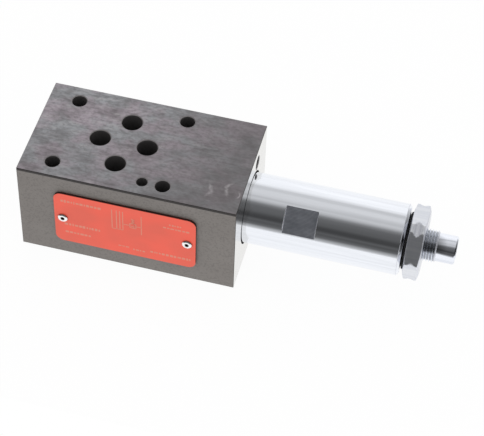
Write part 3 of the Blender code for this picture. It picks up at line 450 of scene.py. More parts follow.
@dataclass(frozen=True)
class Finish:
    """A surface finish: a Principled shader with patterns of its own.

    Attributes:
        name: what the real surface is.
        colour: sRGB hex of its main colour.
        metallic: 1 for bare metal, 0 for a coat or a plastic.
        roughness: how dull its reflections are.
    """

    name: str
    colour: str
    metallic: float
    roughness: float

    def material(self) -> bpy.types.Material:
        """Makes the finish's material once, and finds it again after that.

        Returns:
            The material.
        """
        found = bpy.data.materials.get(self.name)
        if found:
            return found
        made = bpy.data.materials.new(self.name)
        made.use_nodes = True
        tree = made.node_tree
        shader = tree.nodes["Principled BSDF"]
        shader.inputs["Base Color"].default_value = linear(self.colour)
        shader.inputs["Metallic"].default_value = self.metallic
        shader.inputs["Roughness"].default_value = self.roughness
        self.detail(tree, shader)
        return made

    def detail(self, tree: Nodes, shader: Shader) -> None:
        """Adds the finish's own patterns to its shader."""

    def cloud(self, tree: Nodes, size: Place, detail: float, turn: float = 0.0) -> Socket:
        """Soft noise in object space, with patches of a real size.

        Args:
            tree: the material's nodes.
            size: a patch's size along X, Y and Z, in mm.
            detail: how many finer layers it has.
            turn: the angle about Z that the patches are turned by, in degrees.

        Returns:
            The noise's value, from 0 to 1.
        """
        inputs = {
            "Vector": add_node(tree, "TexCoord").outputs["Object"],
            "Rotation": (0.0, 0.0, math.radians(turn)),
            "Scale": tuple(1.0 / (side * MM) for side in size),
        }
        mapped = add_node(tree, "Mapping", inputs).outputs["Vector"]
        inputs = {"Vector": mapped, "Scale": 1.0, "Detail": detail, "Roughness": NOISE_ROUGHNESS}
        return add_node(tree, "TexNoise", inputs).outputs[0]

    def coated(self, tree: Nodes, under: str, coats: Sequence[Coat]) -> Socket:
        """Lays colours over one another, each where its own pattern says.

        Args:
            tree: the material's nodes.
            under: the lowest colour, as sRGB hex.
            coats: for each coat in turn, its pattern, two (pattern, cover) pairs and its sRGB
                hex. The cover changes evenly between the two pairs, and holds past them.

        Returns:
            The colour that is seen.
        """
        seen = linear(under)
        for pattern, low, high, over in coats:
            cover = add_node(tree, "MapRange", span(pattern, low, high)).outputs["Result"]
            inputs = {MIX_FACTOR: cover, MIX_A: seen, MIX_B: linear(over)}
            seen = add_node(tree, "Mix", inputs, data_type="RGBA").outputs[MIX_RESULT]
        return seen

    def join(
        self,
        tree: Nodes,
        shader: Shader,
        tone: Socket | None = None,
        gloss: Socket | None = None,
        spread: Point = (0.0, 0.0),
        height: Socket | None = None,
        depth: float = 0.0,
    ) -> None:
        """Links patterns to the shader's colour, roughness and normal.

        Args:
            tree: the material's nodes.
            shader: the material's shader.
            tone: the colour, where it isn't even.
            gloss: the pattern that the roughness follows.
            spread: what is added to the roughness where that pattern is low, and where it is high.
            height: the pattern that raises the surface.
            depth: how high that one raises it, in mm.
        """
        if tone is not None:
            tree.links.new(tone, shader.inputs["Base Color"])
        if gloss is not None:
            low, high = zip(GLOSS_RANGE, (self.roughness + more for more in spread))
            rough = add_node(tree, "MapRange", span(gloss, low, high))
            tree.links.new(rough.outputs["Result"], shader.inputs["Roughness"])
        if height is not None:
            raised = add_node(tree, "Bump", {"Height": height, "Distance": depth * MM, "Strength": 1.0})
            tree.links.new(raised.outputs["Normal"], shader.inputs["Normal"])


@dataclass(frozen=True)
class PhosphatedTop(Finish):
    """Zinc phosphate on a ground steel face, oiled and handled.

    The phosphate takes unevenly along the grinding, which gives the eye a cloudy grey with
    mauve and brown patches. It is darker toward the cartridge and toward the front, and rubbed
    pale in a few small arcs near the cartridge. The crystal grain is drawn coarser than the real one.

    Attributes:
        mauve, dark, pale: the patches' other colours.
        rubs: (x, y, radius, width, side) of each rubbed arc, in mm. It is the part of a circle
            that lies toward -X for a side of -1, and toward +X for 1.
        rub_cover: how far an arc's middle is rubbed through.
        rub_start: where an arc begins, as a share of its radius.
        rub_stray: how far the arcs stray from their circles, in mm.
        face_height: the height of the face, in mm.
    """

    mauve: str = "A69CA4"
    dark: str = "5F5B5C"
    pale: str = "BAB6B8"
    rubs: tuple[tuple[float, float, float, float, float], ...] = (
        (44.0, -11.3, 3.4, 0.9, -1.0), (43.6, -13.0, 1.9, 0.6, 1.0), (33.0, -13.4, 3.1, 0.9, 1.0),
    )
    rub_cover: float = 0.55
    rub_start: float = 0.4
    rub_stray: float = 1.6
    face_height: float = 40.0

    def rubbed(self, tree: Nodes) -> Socket:
        """The rubbed arcs: high where the distance from a centre is the arc's radius.

        Args:
            tree: the material's nodes.

        Returns:
            How far the coat is rubbed through, 0 away from the arcs.
        """
        place = add_node(tree, "TexCoord").outputs["Object"]
        waver = add_node(tree, "TexNoise", {"Vector": place, "Scale": 1.0 / (3.0 * MM), "Detail": 2.0})
        stray = self.rub_stray * MM
        inputs = {0: waver.outputs["Color"], 1: (2 * stray, 2 * stray, 0.0), 2: (-stray, -stray, 0.0)}
        moved = add_node(tree, "VectorMath", inputs, operation="MULTIPLY_ADD").outputs[0]
        bent = add_node(tree, "VectorMath", {0: place, 1: moved}, operation="ADD").outputs[0]
        across = add_node(tree, "SeparateXYZ", {0: bent}).outputs["X"]
        patches = self.cloud(tree, (1.6, 1.6, 1.6), 1.0)
        broken = add_node(tree, "MapRange", span(patches, (0.35, 0.35), (0.6, 1.0))).outputs["Result"]
        total = 0.0
        for x, y, radius, width, side in self.rubs:
            centre = (x * MM, y * MM, self.face_height * MM)
            away = add_node(tree, "VectorMath", {0: bent, 1: centre}, operation="DISTANCE").outputs["Value"]
            off = add_node(tree, "Math", {0: away, 1: radius * MM}, operation="SUBTRACT").outputs[0]
            size = add_node(tree, "Math", {0: off}, operation="ABSOLUTE").outputs[0]
            arc = add_node(tree, "MapRange", span(size, (0.0, self.rub_cover), (width * MM, 0.0)))
            step = side * self.rub_start * radius * MM
            start = x * MM + step
            window = add_node(tree, "MapRange", span(across, (start, 0.0), (start + step, 1.0)))
            inputs = {0: arc.outputs["Result"], 1: window.outputs["Result"]}
            one_side = add_node(tree, "Math", inputs, operation="MULTIPLY").outputs[0]
            total = add_node(tree, "Math", {0: total, 1: one_side}, operation="MAXIMUM").outputs[0]
        return add_node(tree, "Math", {0: total, 1: broken}, operation="MULTIPLY").outputs[0]

    def detail(self, tree: Nodes, shader: Shader) -> None:
        """Clouds, patches, streaks and a fine crystal grain, in colour, gloss and height.

        Args:
            tree: the material's nodes.
            shader: the material's shader.
        """
        clouds = self.cloud(tree, (9.0, 6.0, 6.0), 5.0, 20.0)
        patches = self.cloud(tree, (14.0, 9.0, 8.0), 4.0, -25.0)
        streaks = self.cloud(tree, (7.0, 1.5, 4.0), 5.0, 6.0)
        grain = self.cloud(tree, (1.7, 1.1, 0.8), 4.0)
        axes = add_node(tree, "SeparateXYZ", {0: add_node(tree, "TexCoord").outputs["Object"]}).outputs
        coats = (
            (patches, (0.42, 0.0), (0.56, 1.0), self.mauve),
            (clouds, (0.3, 0.62), (0.58, 0.0), self.dark),
            (streaks, (0.5, 0.0), (0.72, 0.55), self.pale),
            (streaks, (0.3, 0.45), (0.46, 0.0), self.dark),
            (grain, (0.36, 0.42), (0.56, 0.0), self.dark),
            (axes["X"], (-6 * MM, 0.0), (40 * MM, 0.62), self.dark),
            (axes["Y"], (12 * MM, 0.0), (-20 * MM, 0.28), self.dark),
            (self.rubbed(tree), (0.0, 0.0), (1.0, 1.0), self.pale),
        )
        tone = self.coated(tree, self.colour, coats)
        self.join(tree, shader, tone, gloss=clouds, spread=(0.06, -0.06), height=streaks, depth=0.003)


@dataclass(frozen=True)
class ThinCoat(Finish):
    """A thin even coat on steel, such as phosphate, blacking or oil: one grey with a soft sheen.

    Attributes:
        shade: the fainter of its two greys.
        line: the colour of its specks, and of the painted shade: a dark line under the block's
            upper edges.
        painted_shade_start: the height in mm above which that painted shade lies.
        painted_shade_fade: the height in mm over which it comes in.
    """

    shade: str = "7A7571"
    line: str = "2C2726"
    painted_shade_start: float = 38.85
    painted_shade_fade: float = 0.15

    def detail(self, tree: Nodes, shader: Shader) -> None:
        """Very faint clouds, fine specks that also raise the surface, and the painted shade line under the
        upper edges.

        Args:
            tree: the material's nodes.
            shader: the material's shader.
        """
        clouds = self.cloud(tree, (14.0, 9.0, 8.0), 2.0)
        grain = self.cloud(tree, (0.7, 0.7, 0.7), 2.0)
        axes = add_node(tree, "SeparateXYZ", {0: add_node(tree, "TexCoord").outputs["Object"]}).outputs
        start = self.painted_shade_start * MM
        coats = (
            (clouds, (0.35, 0.0), (0.65, 1.0), self.colour),
            (grain, (0.34, 0.22), (0.5, 0.0), self.line),
            # Painted shade: dark above this height, under the block's upper edges.
            (axes["Z"], (start, 0.0), (start + self.painted_shade_fade * MM, 1.0), self.line),
        )
        self.join(tree, shader, self.coated(tree, self.shade, coats), height=grain, depth=0.004)


@dataclass(frozen=True)
class MilledFlat(Finish):
    """Zinc plate over an end-milled flat: a dull grey with the cutter's curved strokes.

    Attributes:
        shade: the darker grey of its clouds.
        glint: the colour of the strokes' crests.
        centre: where the cutter's arcs are centred, in mm.
        stroke: the distance between strokes in mm, drawn coarser than the real one.
        waver: how far the noise bends the strokes, in radians of their wave.
    """

    shade: str = "A9ADB7"
    glint: str = "E2E4EA"
    centre: Place = (56.0, 0.0, 40.0)
    stroke: float = 1.3
    waver: float = 9.0

    def detail(self, tree: Nodes, shader: Shader) -> None:
        """Strokes: a sine of the distance from the centre, broken up by soft noise.

        Args:
            tree: the material's nodes.
            shader: the material's shader.
        """
        place = add_node(tree, "TexCoord").outputs["Object"]
        centre = tuple(value * MM for value in self.centre)
        away = add_node(tree, "VectorMath", {0: place, 1: centre}, operation="DISTANCE").outputs["Value"]
        rate = math.tau / (self.stroke * MM)
        turns = add_node(tree, "Math", {0: away, 1: rate}, operation="MULTIPLY").outputs[0]
        inputs = {0: self.cloud(tree, (4.0, 4.0, 4.0), 2.0), 1: self.waver, 2: turns}
        bent = add_node(tree, "Math", inputs, operation="MULTIPLY_ADD").outputs[0]
        wave = add_node(tree, "Math", {0: bent}, operation="SINE").outputs[0]
        patches = self.cloud(tree, (6.0, 4.0, 4.0), 3.0)
        patchy = add_node(tree, "MapRange", span(patches, (0.35, 0.1), (0.6, 0.9))).outputs["Result"]
        strokes = add_node(tree, "Math", {0: wave, 1: patchy}, operation="MULTIPLY").outputs[0]
        coats = (
            (patches, (0.35, 0.0), (0.65, 1.0), self.colour),
            (strokes, (0.0, 0.0), (1.0, 0.35), self.glint),
        )
        self.join(tree, shader, self.coated(tree, self.shade, coats), height=strokes, depth=0.0005)


@dataclass(frozen=True)
class GroundSteel(Finish):
    """Bare or plated steel ground with a wheel: bright, with fine lines one way.

    Attributes:
        line: the distance between grinding lines in mm, drawn coarser than the real one.
        stretch: how many times longer than that the lines are.
    """

    line: float = 0.5
    stretch: float = 30.0

    def detail(self, tree: Nodes, shader: Shader) -> None:
        """Grinding lines in the height, and soft spots in the gloss.

        Args:
            tree: the material's nodes.
            shader: the material's shader.
        """
        lines = self.cloud(tree, (self.line * self.stretch, self.line, self.line), 2.0)
        spots = self.cloud(tree, (4.0, 4.0, 4.0), 2.0)
        self.join(tree, shader, gloss=spots, spread=(-0.03, 0.04), height=lines, depth=0.0012)


@dataclass(frozen=True)
class ZincPlate(Finish):
    """Bright zinc plate over turned steel: a cool mirror with faint turning rings.

    Attributes:
        ring: the distance between turning rings, in mm.
        depth: the rings' depth, in mm.
        shade: the duller colour of the streaks along the axis.
        root: the radius in mm up to which painted shade darkens the thread's roots, 0 for none.
        root_shade_fade: the height in mm over which it fades out above that.
        painted_root_shade: the painted shade's colour.
        painted_root_shade_cover: how far it covers the plate.
        axis_height: the height of the axis that the radius is measured from, in mm.
    """

    ring: float = 0.55
    depth: float = 0.0008
    shade: str = "EBEEF4"
    root: float = 0.0
    root_shade_fade: float = 0.25
    painted_root_shade: str = "A0A3A8"
    painted_root_shade_cover: float = 0.85
    axis_height: float = 20.0

    def detail(self, tree: Nodes, shader: Shader) -> None:
        """Turning rings round X in the height, a cloudy plate in colour and gloss, and painted shade in the
        thread's roots.

        Args:
            tree: the material's nodes.
            shader: the material's shader.
        """
        rings = self.cloud(tree, (self.ring, 400.0, 400.0), 2.0)
        clouds = self.cloud(tree, (45.0, 1.6, 1.6), 2.0)
        coats = [(clouds, (0.35, 0.0), (0.6, 1.0), self.colour)]
        # Painted shade: the thread's roots are darkened up to the root radius.
        if self.root:
            place = add_node(tree, "TexCoord").outputs["Object"]
            inputs = {0: place, 1: (0.0, 1.0, 1.0)}
            flat = add_node(tree, "VectorMath", inputs, operation="MULTIPLY").outputs[0]
            inputs = {0: flat, 1: (0.0, 0.0, self.axis_height * MM)}
            radius = add_node(tree, "VectorMath", inputs, operation="DISTANCE").outputs["Value"]
            shade_end = (self.root + self.root_shade_fade) * MM
            coats.append((radius, (self.root * MM, self.painted_root_shade_cover), (shade_end, 0.0), self.painted_root_shade))
        tone = self.coated(tree, self.shade, coats)
        self.join(tree, shader, tone, gloss=clouds, spread=(-0.02, 0.02), height=rings, depth=self.depth)


@dataclass(frozen=True)
class RedAnodised(Finish):
    """Aluminium sheet anodised red: an even satin red that the metal shows through a little.

    Attributes:
        shade: the duller of its two reds.
    """

    shade: str = "E45D48"

    def detail(self, tree: Nodes, shader: Shader) -> None:
        """Faint clouds in the colour, and rolling lines along the sheet in the gloss.

        Args:
            tree: the material's nodes.
            shader: the material's shader.
        """
        lines = self.cloud(tree, (30.0, 1.0, 0.7), 2.0)
        clouds = self.cloud(tree, (12.0, 6.0, 9.0), 1.0)
        tone = self.coated(tree, self.shade, [(clouds, (0.35, 0.0), (0.65, 1.0), self.colour)])
        self.join(tree, shader, tone, gloss=lines, spread=(-0.04, 0.05))


@dataclass(frozen=True)
class MattePolymer(Finish):
    """Moulded rubber, sintered plastic or screen ink: dull, with a fine uneven skin.

    Attributes:
        skin: the size of the skin's unevenness, in mm.
    """

    skin: float = 0.3

    def detail(self, tree: Nodes, shader: Shader) -> None:
        """The skin in the height, and a faint bloom in the gloss.

        Args:
            tree: the material's nodes.
            shader: the material's shader.
        """
        skin = self.cloud(tree, (self.skin, self.skin, self.skin), 2.0)
        bloom = self.cloud(tree, (3.0, 3.0, 3.0), 1.0)
        self.join(tree, shader, gloss=bloom, spread=(-0.06, 0.06), height=skin, depth=0.006)


# The block: dull greys where it is coated, one bright ground end, and dark oiled holes.
TOP_FACE = PhosphatedTop("phosphated_ground_face", "9FA1A5", 0.25, 0.46)
SIDE_FACE = ThinCoat("phosphated_milled_side", "7E7975", 0.15, 0.5)
END_FACE = GroundSteel("ground_end_face", "DCDBD8", 1.0, 0.1)
# Painted shade: the broken edges are coloured dark to stand in for their dark reflection.
EDGE = GroundSteel("deburred_edge_painted_dark", "44403E", 0.6, 0.35)
LIP = ThinCoat("burnished_hole_lip", "9E9A9B", 0.4, 0.5, "938F90", "938F90")
BORE = ThinCoat("oiled_drilled_bore", "464444", 0.0, 0.6, "3E3C3C", "464444")
PLUG_STEEL = ThinCoat("blackened_plug_steel", "2C2A2A", 0.4, 0.45, "242222", "2C2A2A")

# The cartridge: a blue-white mirror where it is turned, duller on flats, nut and rubbed edges.
BRIGHT_ZINC = ZincPlate("bright_zinc_on_turned_steel", "F2F5FB", 1.0, 0.09)
FLAT_ZINC = MilledFlat("bright_zinc_on_milled_flat", "CCD0DA", 0.88, 0.36)
NUT_ZINC = ZincPlate("bright_zinc_on_pressed_nut", "E4E6EB", 0.9, 0.3, 0.8, 0.0004, "D8DBE2")
PIN_ZINC = ZincPlate("bright_zinc_on_smooth_pin", "F1F4FC", 1.0, 0.1, 0.8, 0.0002, "E4E8F1")
# The thread's roots carry painted shade.
THREAD_ZINC = replace(PIN_ZINC, name="bright_zinc_on_rolled_thread", root=5.42)
ZINC_EDGE = GroundSteel("burnished_zinc_edge", "E6E8F0", 0.72, 0.42)

# The plate: satin red with a print that hardly stands out, white rivets, brown-black sheet edges, and
# painted shade on the rivets.
PLATE_RED = RedAnodised("red_anodised_sheet", "F05D47", 0.1, 0.36)
PRINT = MattePolymer("beige_screen_print", "DC8670", 0.0, 0.5)
RIVET_METAL = GroundSteel("bright_rivet_metal", "FAFAFA", 1.0, 0.22)
# Dark brown on the plate's sheet edges; painted shade on the rivets' side walls and in their bores.
DARK_EDGE_AND_SHADE = ThinCoat("dark_edge_and_painted_shade", "3A201A", 0.2, 0.5, "331C18", "331C18")

# The inner pieces: grey ground steels, brown-grey spring wire, black rubber, ivory plastic.
BARE_STEEL = GroundSteel("ground_bare_steel", "B9B9BB", 1.0, 0.25)
HARD_STEEL = GroundSteel("hardened_ground_steel", "8E8E90", 1.0, 0.2)
SPRING_WIRE = GroundSteel("oiled_spring_wire", "5B5756", 0.9, 0.38)
RUBBER = MattePolymer("nitrile_rubber", "161616", 0.0, 0.55)
FLUOROPLASTIC = MattePolymer("white_fluoroplastic", "E8E8E2", 0.0, 0.45)


@dataclass
class Studio:
    """The camera, the soft white surround and the pale floor.

    The reflected levels are those that a polished round bar shows: a dark zone in front and
    above the camera, a grey ceiling, and white behind and below.

    Attributes:
        focal_pixels: the camera's focal length in pixels of the photograph's width.
        eye: the camera's place in mm.
        right, up: the camera's own directions.
        levels: (angle from the front horizon over the zenith to the back, level) pairs.
        steel: the share of light that the bar sends back.
        side_fall: how the levels fall off toward the left and right horizons, as two pairs of
            the direction's |x| and the share that is left.
        diffuse_level: the even level that matt surfaces are lit by.
        floor_reach: how far the floor goes to the back and to the left, in mm.
        floor_front, floor_right: how far it goes to the front and to the right, in mm.
        floor_drop: how far the floor lies below the block, in mm.
        floor_glow: the share of the floor that shines by itself.
    """

    focal_pixels: float = 1775.18
    eye: Place = (136.871, -414.462, 499.018)
    right: Place = (0.9678, 0.2501, 0.0288)
    up: Place = (-0.2068, 0.7246, 0.6574)
    levels: tuple[Point, ...] = (
        (-180.0, 0.87), (-30.0, 0.74), (-18.0, 0.62), (-8.0, 0.34), (-2.0, 0.12), (8.0, 0.075),
        (14.0, 0.1), (22.0, 0.048), (30.0, 0.055), (40.0, 0.095), (58.0, 0.12), (66.0, 0.19),
        (76.0, 0.46), (81.0, 0.53), (86.0, 0.46), (94.0, 0.55), (104.0, 0.61), (114.0, 0.61),
        (119.0, 0.52), (125.0, 0.54), (131.0, 0.72), (140.0, 0.86), (155.0, 0.92), (180.0, 0.85),
    )
    steel: float = 0.87
    side_fall: tuple[Point, Point] = ((0.35, 1.0), (1.0, 0.03))
    diffuse_level: float = 0.95
    floor_reach: float = 1500.0
    floor_front: float = 90.0
    floor_right: float = 180.0
    floor_drop: float = 0.2
    floor_glow: float = 0.95

    def camera(self) -> None:
        """Puts the camera where the photograph's fitted view has it."""
        right = Vector(self.right).normalized()
        back = right.cross(Vector(self.up)).normalized()
        upward = back.cross(right)
        data = bpy.data.cameras.new("photo_view")
        data.sensor_fit = "HORIZONTAL"
        data.sensor_width = SENSOR_WIDTH
        data.lens = self.focal_pixels / PHOTO_WIDTH * SENSOR_WIDTH
        data.clip_start = 0.01
        made = bpy.data.objects.new("photo_view", data)
        turn = Matrix((right, upward, back)).transposed().to_4x4()
        made.matrix_world = Matrix.Translation(Vector(self.eye) * MM) @ turn
        bpy.context.scene.collection.objects.link(made)
        bpy.context.scene.camera = made

    def world(self) -> None:
        """White to the camera, even to matt surfaces, and the studio's levels to polished ones."""
        world = bpy.data.worlds.new("soft_studio")
        world.use_nodes = True
        tree = world.node_tree
        background = tree.nodes["Background"]
        way = add_node(tree, "TexCoord").outputs["Generated"]
        axes = add_node(tree, "SeparateXYZ", {0: way})
        front = add_node(tree, "Math", {0: axes.outputs["Y"], 1: -1.0}, operation="MULTIPLY")
        angle = add_node(tree, "Math", {0: axes.outputs["Z"], 1: front.outputs[0]}, operation="ARCTAN2")
        share = add_node(tree, "MapRange", span(angle.outputs[0], (-math.pi, 0.0), (math.pi, 1.0)))
        ramp = add_node(tree, "ValToRGB", {0: share.outputs["Result"]})
        stops = ramp.color_ramp.elements
        while len(stops) < len(self.levels):
            stops.new(1.0)
        for stop, (degrees, level) in zip(stops, self.levels):
            stop.position = (degrees + 180.0) / 360.0
            stop.color = (*[level / self.steel] * 3, 1.0)
        sideways = add_node(tree, "Math", {0: axes.outputs["X"]}, operation="ABSOLUTE")
        fall = add_node(tree, "MapRange", span(sideways.outputs[0], *self.side_fall))
        scaled = {0: ramp.outputs["Color"], "Scale": fall.outputs["Result"]}
        falling = add_node(tree, "VectorMath", scaled, operation="SCALE")
        path = add_node(tree, "LightPath").outputs
        even = (*[self.diffuse_level] * 3, 1.0)
        lit = {MIX_FACTOR: path["Is Diffuse Ray"], MIX_A: falling.outputs[0], MIX_B: even}
        seen = add_node(tree, "Mix", lit, data_type="RGBA").outputs[MIX_RESULT]
        white = (1.0, 1.0, 1.0, 1.0)
        whitened = {MIX_FACTOR: path["Is Camera Ray"], MIX_A: seen, MIX_B: white}
        shown = add_node(tree, "Mix", whitened, data_type="RGBA")
        tree.links.new(shown.outputs[MIX_RESULT], background.inputs["Color"])
        bpy.context.scene.world = world

    def floor(self) -> None:
        """A pale floor that stays white to the camera and keeps a soft shadow."""
        reach = self.floor_reach
        across = np.array([-reach, self.floor_right])
        x, y = np.meshgrid(across, np.array([-self.floor_front, reach]), indexing="ij")
        points = np.stack([x, y, np.full_like(x, -self.floor_drop)], axis=-1)
        made = surface("studio_floor", points)
        material = bpy.data.materials.new("white_paper_sweep")
        material.use_nodes = True
        tree = material.node_tree
        shader = tree.nodes["Principled BSDF"]
        shader.inputs["Base Color"].default_value = linear("FFFFFF")
        shader.inputs["Roughness"].default_value = 0.9
        shader.inputs["Specular IOR Level"].default_value = 0.0
        glow = add_node(tree, "Emission", {"Color": (1.0, 1.0, 1.0, 1.0), "Strength": 1.0})
        mixed = add_node(tree, "MixShader", {0: self.floor_glow, 1: shader.outputs[0], 2: glow.outputs[0]})
        tree.links.new(mixed.outputs[0], tree.nodes["Material Output"].inputs["Surface"])
        made.data.materials.append(material)

    def build(self) -> None:
        """Sets up the whole studio."""
        self.camera()
        self.world()
        self.floor()
        bpy.context.scene.view_settings.view_transform = "Standard"


class Region(Enum):
    """The block's kinds of surface, numbered as its material slots."""

    TOP = 0
    SIDE = 1
    END = 2
    EDGE = 3
    LIP = 4
    BORE = 5


@dataclass
class PortedBlock:
    """The steel block with its ports, bolt holes, pin holes, cavity and gallery.

    Attributes:
        ports, port_radius: the four ports through the block.
        bolt_holes, bolt_radius: the four bolt holes through it.
        pin_hole, pin_radius, pin_depth: the locating pin's hole in both faces.
        lip: how far each mouth is countersunk.
        edge_chamfer: how far the outer edges are broken.
        recess_depth: how deep the seals' recesses are under the ports.
        recess_web: half the steel that is left between two recesses.
        drill_half_angle: half the angle of a drill's point.
        cavity_steps: the cartridge cavity's (x, radius) steps up to its mouth.
        cavity_mouth: the radius of its mouth.
        gallery_place, gallery_radius, gallery_end: the (y, z) line of the gallery that runs in
            from the right end, its radius, and the x where it ends.
        link_radius, link_angle: the drilling from the side chamber to the gallery, and its lean.
        link_start, link_wall: how far from the axis it starts, and where the chamber's wall is.
        link_x: where it crosses that wall.
        rivet_hole_radius, rivet_hole_depth: the rivets' holes in the front.
        over: how far each cut reaches past its face.
        flat_share: how squarely a face looks along an axis to count as one of the six sides.
        sharp: the angle in degrees past which an edge stays sharp.
    """

    ports: tuple[Point, ...] = ((0.0, -10.4), (-8.8, 0.0), (8.7, 0.0), (0.0, 10.4))
    port_radius: float = 3.75
    bolt_holes: tuple[Point, ...] = ((-21.5, 15.5), (19.0, 16.25), (19.0, -16.25), (-21.5, -15.5))
    bolt_radius: float = 2.7
    pin_hole: Point = (11.5, -16.25)
    pin_radius: float = 2.0
    pin_depth: float = 4.0
    lip: float = 0.3
    edge_chamfer: float = 0.15
    recess_depth: float = 1.4
    recess_web: float = 0.6
    drill_half_angle: float = math.radians(59.0)
    cavity_steps: tuple[Point, ...] = (
        (8.7, 0.0), (8.7, 3.5), (14.1, 3.5), (14.1, 8.0), (21.9, 8.0), (22.5, 8.6), (22.5, 10.2),
        (27.85, 10.2), (27.85, 11.0), (44.07, 11.0), (44.07, 12.5), (45.9, 12.5), (45.9, 13.65),
    )
    cavity_mouth: float = 13.65
    gallery_place: Point = (8.9, 34.2)
    gallery_radius: float = 2.5
    gallery_end: float = -1.0
    link_radius: float = 2.0
    link_angle: float = math.radians(40.0)
    link_start: float = 4.0
    link_wall: float = 10.2
    link_x: float = 25.175
    rivet_hole_radius: float = 1.3
    rivet_hole_depth: float = 5.05
    over: float = 1.0
    flat_share: float = 0.999
    sharp: float = 32.0

    def __post_init__(self) -> None:
        """Takes the block's corners from the frame."""
        self.low, self.high, middle = extent("valve_block")
        self.axis_z = middle[2]

    def through_hole(self, radius: float, recess: float) -> list[Point]:
        """A hole through the block's height, with a lip on top and a lip or a recess below.

        Args:
            radius: the hole's radius.
            recess: the radius of the seal's recess below, 0 for a plain lip.

        Returns:
            Its (height, radius) corners.
        """
        top = self.high[2]
        over = self.over
        below = [(-over, 0.0), (-over, radius + self.lip + over), (self.lip, radius)]
        if recess:
            below = [(-over, 0.0), (-over, recess), (self.recess_depth, recess), (self.recess_depth, radius)]
        return [*below, (top - self.lip, radius), (top + over, radius + self.lip + over), (top + over, 0.0)]

    def blind_hole(self, radius: float, depth: float, lip: float) -> list[Point]:
        """A drilled hole from its mouth at x = 0 inwards, ending in the drill's point.

        Args:
            radius: the hole's radius.
            depth: how deep it is without the point.
            lip: how far its mouth is countersunk.

        Returns:
            Its (x, radius) corners.
        """
        tip = -depth - radius / math.tan(self.drill_half_angle)
        over = self.over
        return [(tip, 0.0), (-depth, radius), (-lip, radius), (over, radius + lip + over), (over, 0.0)]

    def link(self) -> tuple[list[Point], Axis]:
        """The inclined drilling that leans outwards from the side chamber up to the gallery.

        Returns:
            Its corners, and its axis, which starts where it crosses the chamber's wall.
        """
        radial = Vector((0.0, self.gallery_place[0], self.gallery_place[1] - self.axis_z))
        outward = radial.normalized()
        along = outward * math.sin(self.link_angle) - Vector((math.cos(self.link_angle), 0.0, 0.0))
        across = along.orthogonal().normalized()
        wall = Vector((self.link_x, 0.0, self.axis_z)) + outward * self.link_wall
        start = (self.link_wall - self.link_start) / math.sin(self.link_angle)
        stop = (radial.length - self.link_wall) / math.sin(self.link_angle)
        radius = self.link_radius
        corners = [(-start, 0.0), (-start, radius), (stop, radius), (stop, 0.0)]
        return corners, Axis(tuple(wall), tuple(along), tuple(across), tuple(along.cross(across)))

    def cuts(self) -> list[tuple[str, Sequence[Point], Axis, int]]:
        """Everything that is drilled or bored out of the block.

        Returns:
            Each cut's name, (x, radius) corners, axis and number of columns.
        """
        end, _, top = self.high
        nearest = min(math.dist(a, b) for a in self.ports for b in self.ports if a != b)
        port = self.through_hole(self.port_radius, nearest / 2 - self.recess_web)
        bolt = self.through_hole(self.bolt_radius, 0.0)
        made = []
        for number, spot in enumerate(self.ports):
            made.append((f"port_{number}", port, Axis((*spot, 0.0), *UPWARDS), COLUMNS))
        for number, spot in enumerate(self.bolt_holes):
            made.append((f"bolt_{number}", bolt, Axis((*spot, 0.0), *UPWARDS), SMALL_COLUMNS))
        pin = self.blind_hole(self.pin_radius, self.pin_depth, self.lip)
        made.append(("pin_top", pin, Axis((*self.pin_hole, top), *UPWARDS), SMALL_COLUMNS))
        made.append(("pin_low", pin, Axis((*self.pin_hole, 0.0), *DOWNWARDS), SMALL_COLUMNS))
        mouth = [(end + self.over, self.cavity_mouth), (end + self.over, 0.0)]
        made.append(("cavity", [*self.cavity_steps, *mouth], cartridge_axis(), COLUMNS))
        gallery = self.blind_hole(self.gallery_radius, end - self.gallery_end, self.lip)
        made.append(("gallery", gallery, Axis((end, *self.gallery_place)), SMALL_COLUMNS))
        made.append(("link", *self.link(), SMALL_COLUMNS))
        hole = self.blind_hole(self.rivet_hole_radius, self.rivet_hole_depth, 0.0)
        for side in ("left", "right"):
            x, _, z = extent(f"plate_rivet_{side}")[2]
            made.append((f"rivet_{side}", hole, Axis((x, self.low[1], z), *FORWARDS), SMALL_COLUMNS))
        return made

    def kinds(self, mesh: bpy.types.Mesh) -> np.ndarray:
        """Each face's region, from how deep it lies and which way it faces.

        Args:
            mesh: the drilled block.

        Returns:
            The regions' numbers, one for each face.
        """
        centre, normal = faces_of(mesh)
        depths = np.sort(np.minimum(centre - self.low, self.high - centre), axis=1)
        flat = np.abs(normal) > self.flat_share
        region = np.where(depths[:, 1] > self.edge_chamfer, Region.LIP.value, Region.EDGE.value)
        region[flat[:, 2]] = Region.TOP.value
        region[flat[:, 1]] = Region.SIDE.value
        region[flat[:, 0]] = Region.END.value
        region[depths[:, 0] > self.lip] = Region.BORE.value
        return region

    def build(self) -> None:
        """A cuboid of eight corners, its edges chamfered, then drilled and dressed."""
        corners = self.low + box_corners([(0, 1)] * 3) * (self.high - self.low)
        block = placed("ported_block", corners, BOX_QUADS)
        edges = block.modifiers.new("chamfered_edges", "BEVEL")
        edges.width = self.edge_chamfer * MM
        edges.segments = 1
        drilled(block, self.cuts(), self.sharp)
        finishes = (TOP_FACE, SIDE_FACE, END_FACE, EDGE, LIP, BORE)
        kinds = self.kinds(block.data)
        settle(block, finishes, "block", "phosphated_steel", "valve_block", kinds=kinds)


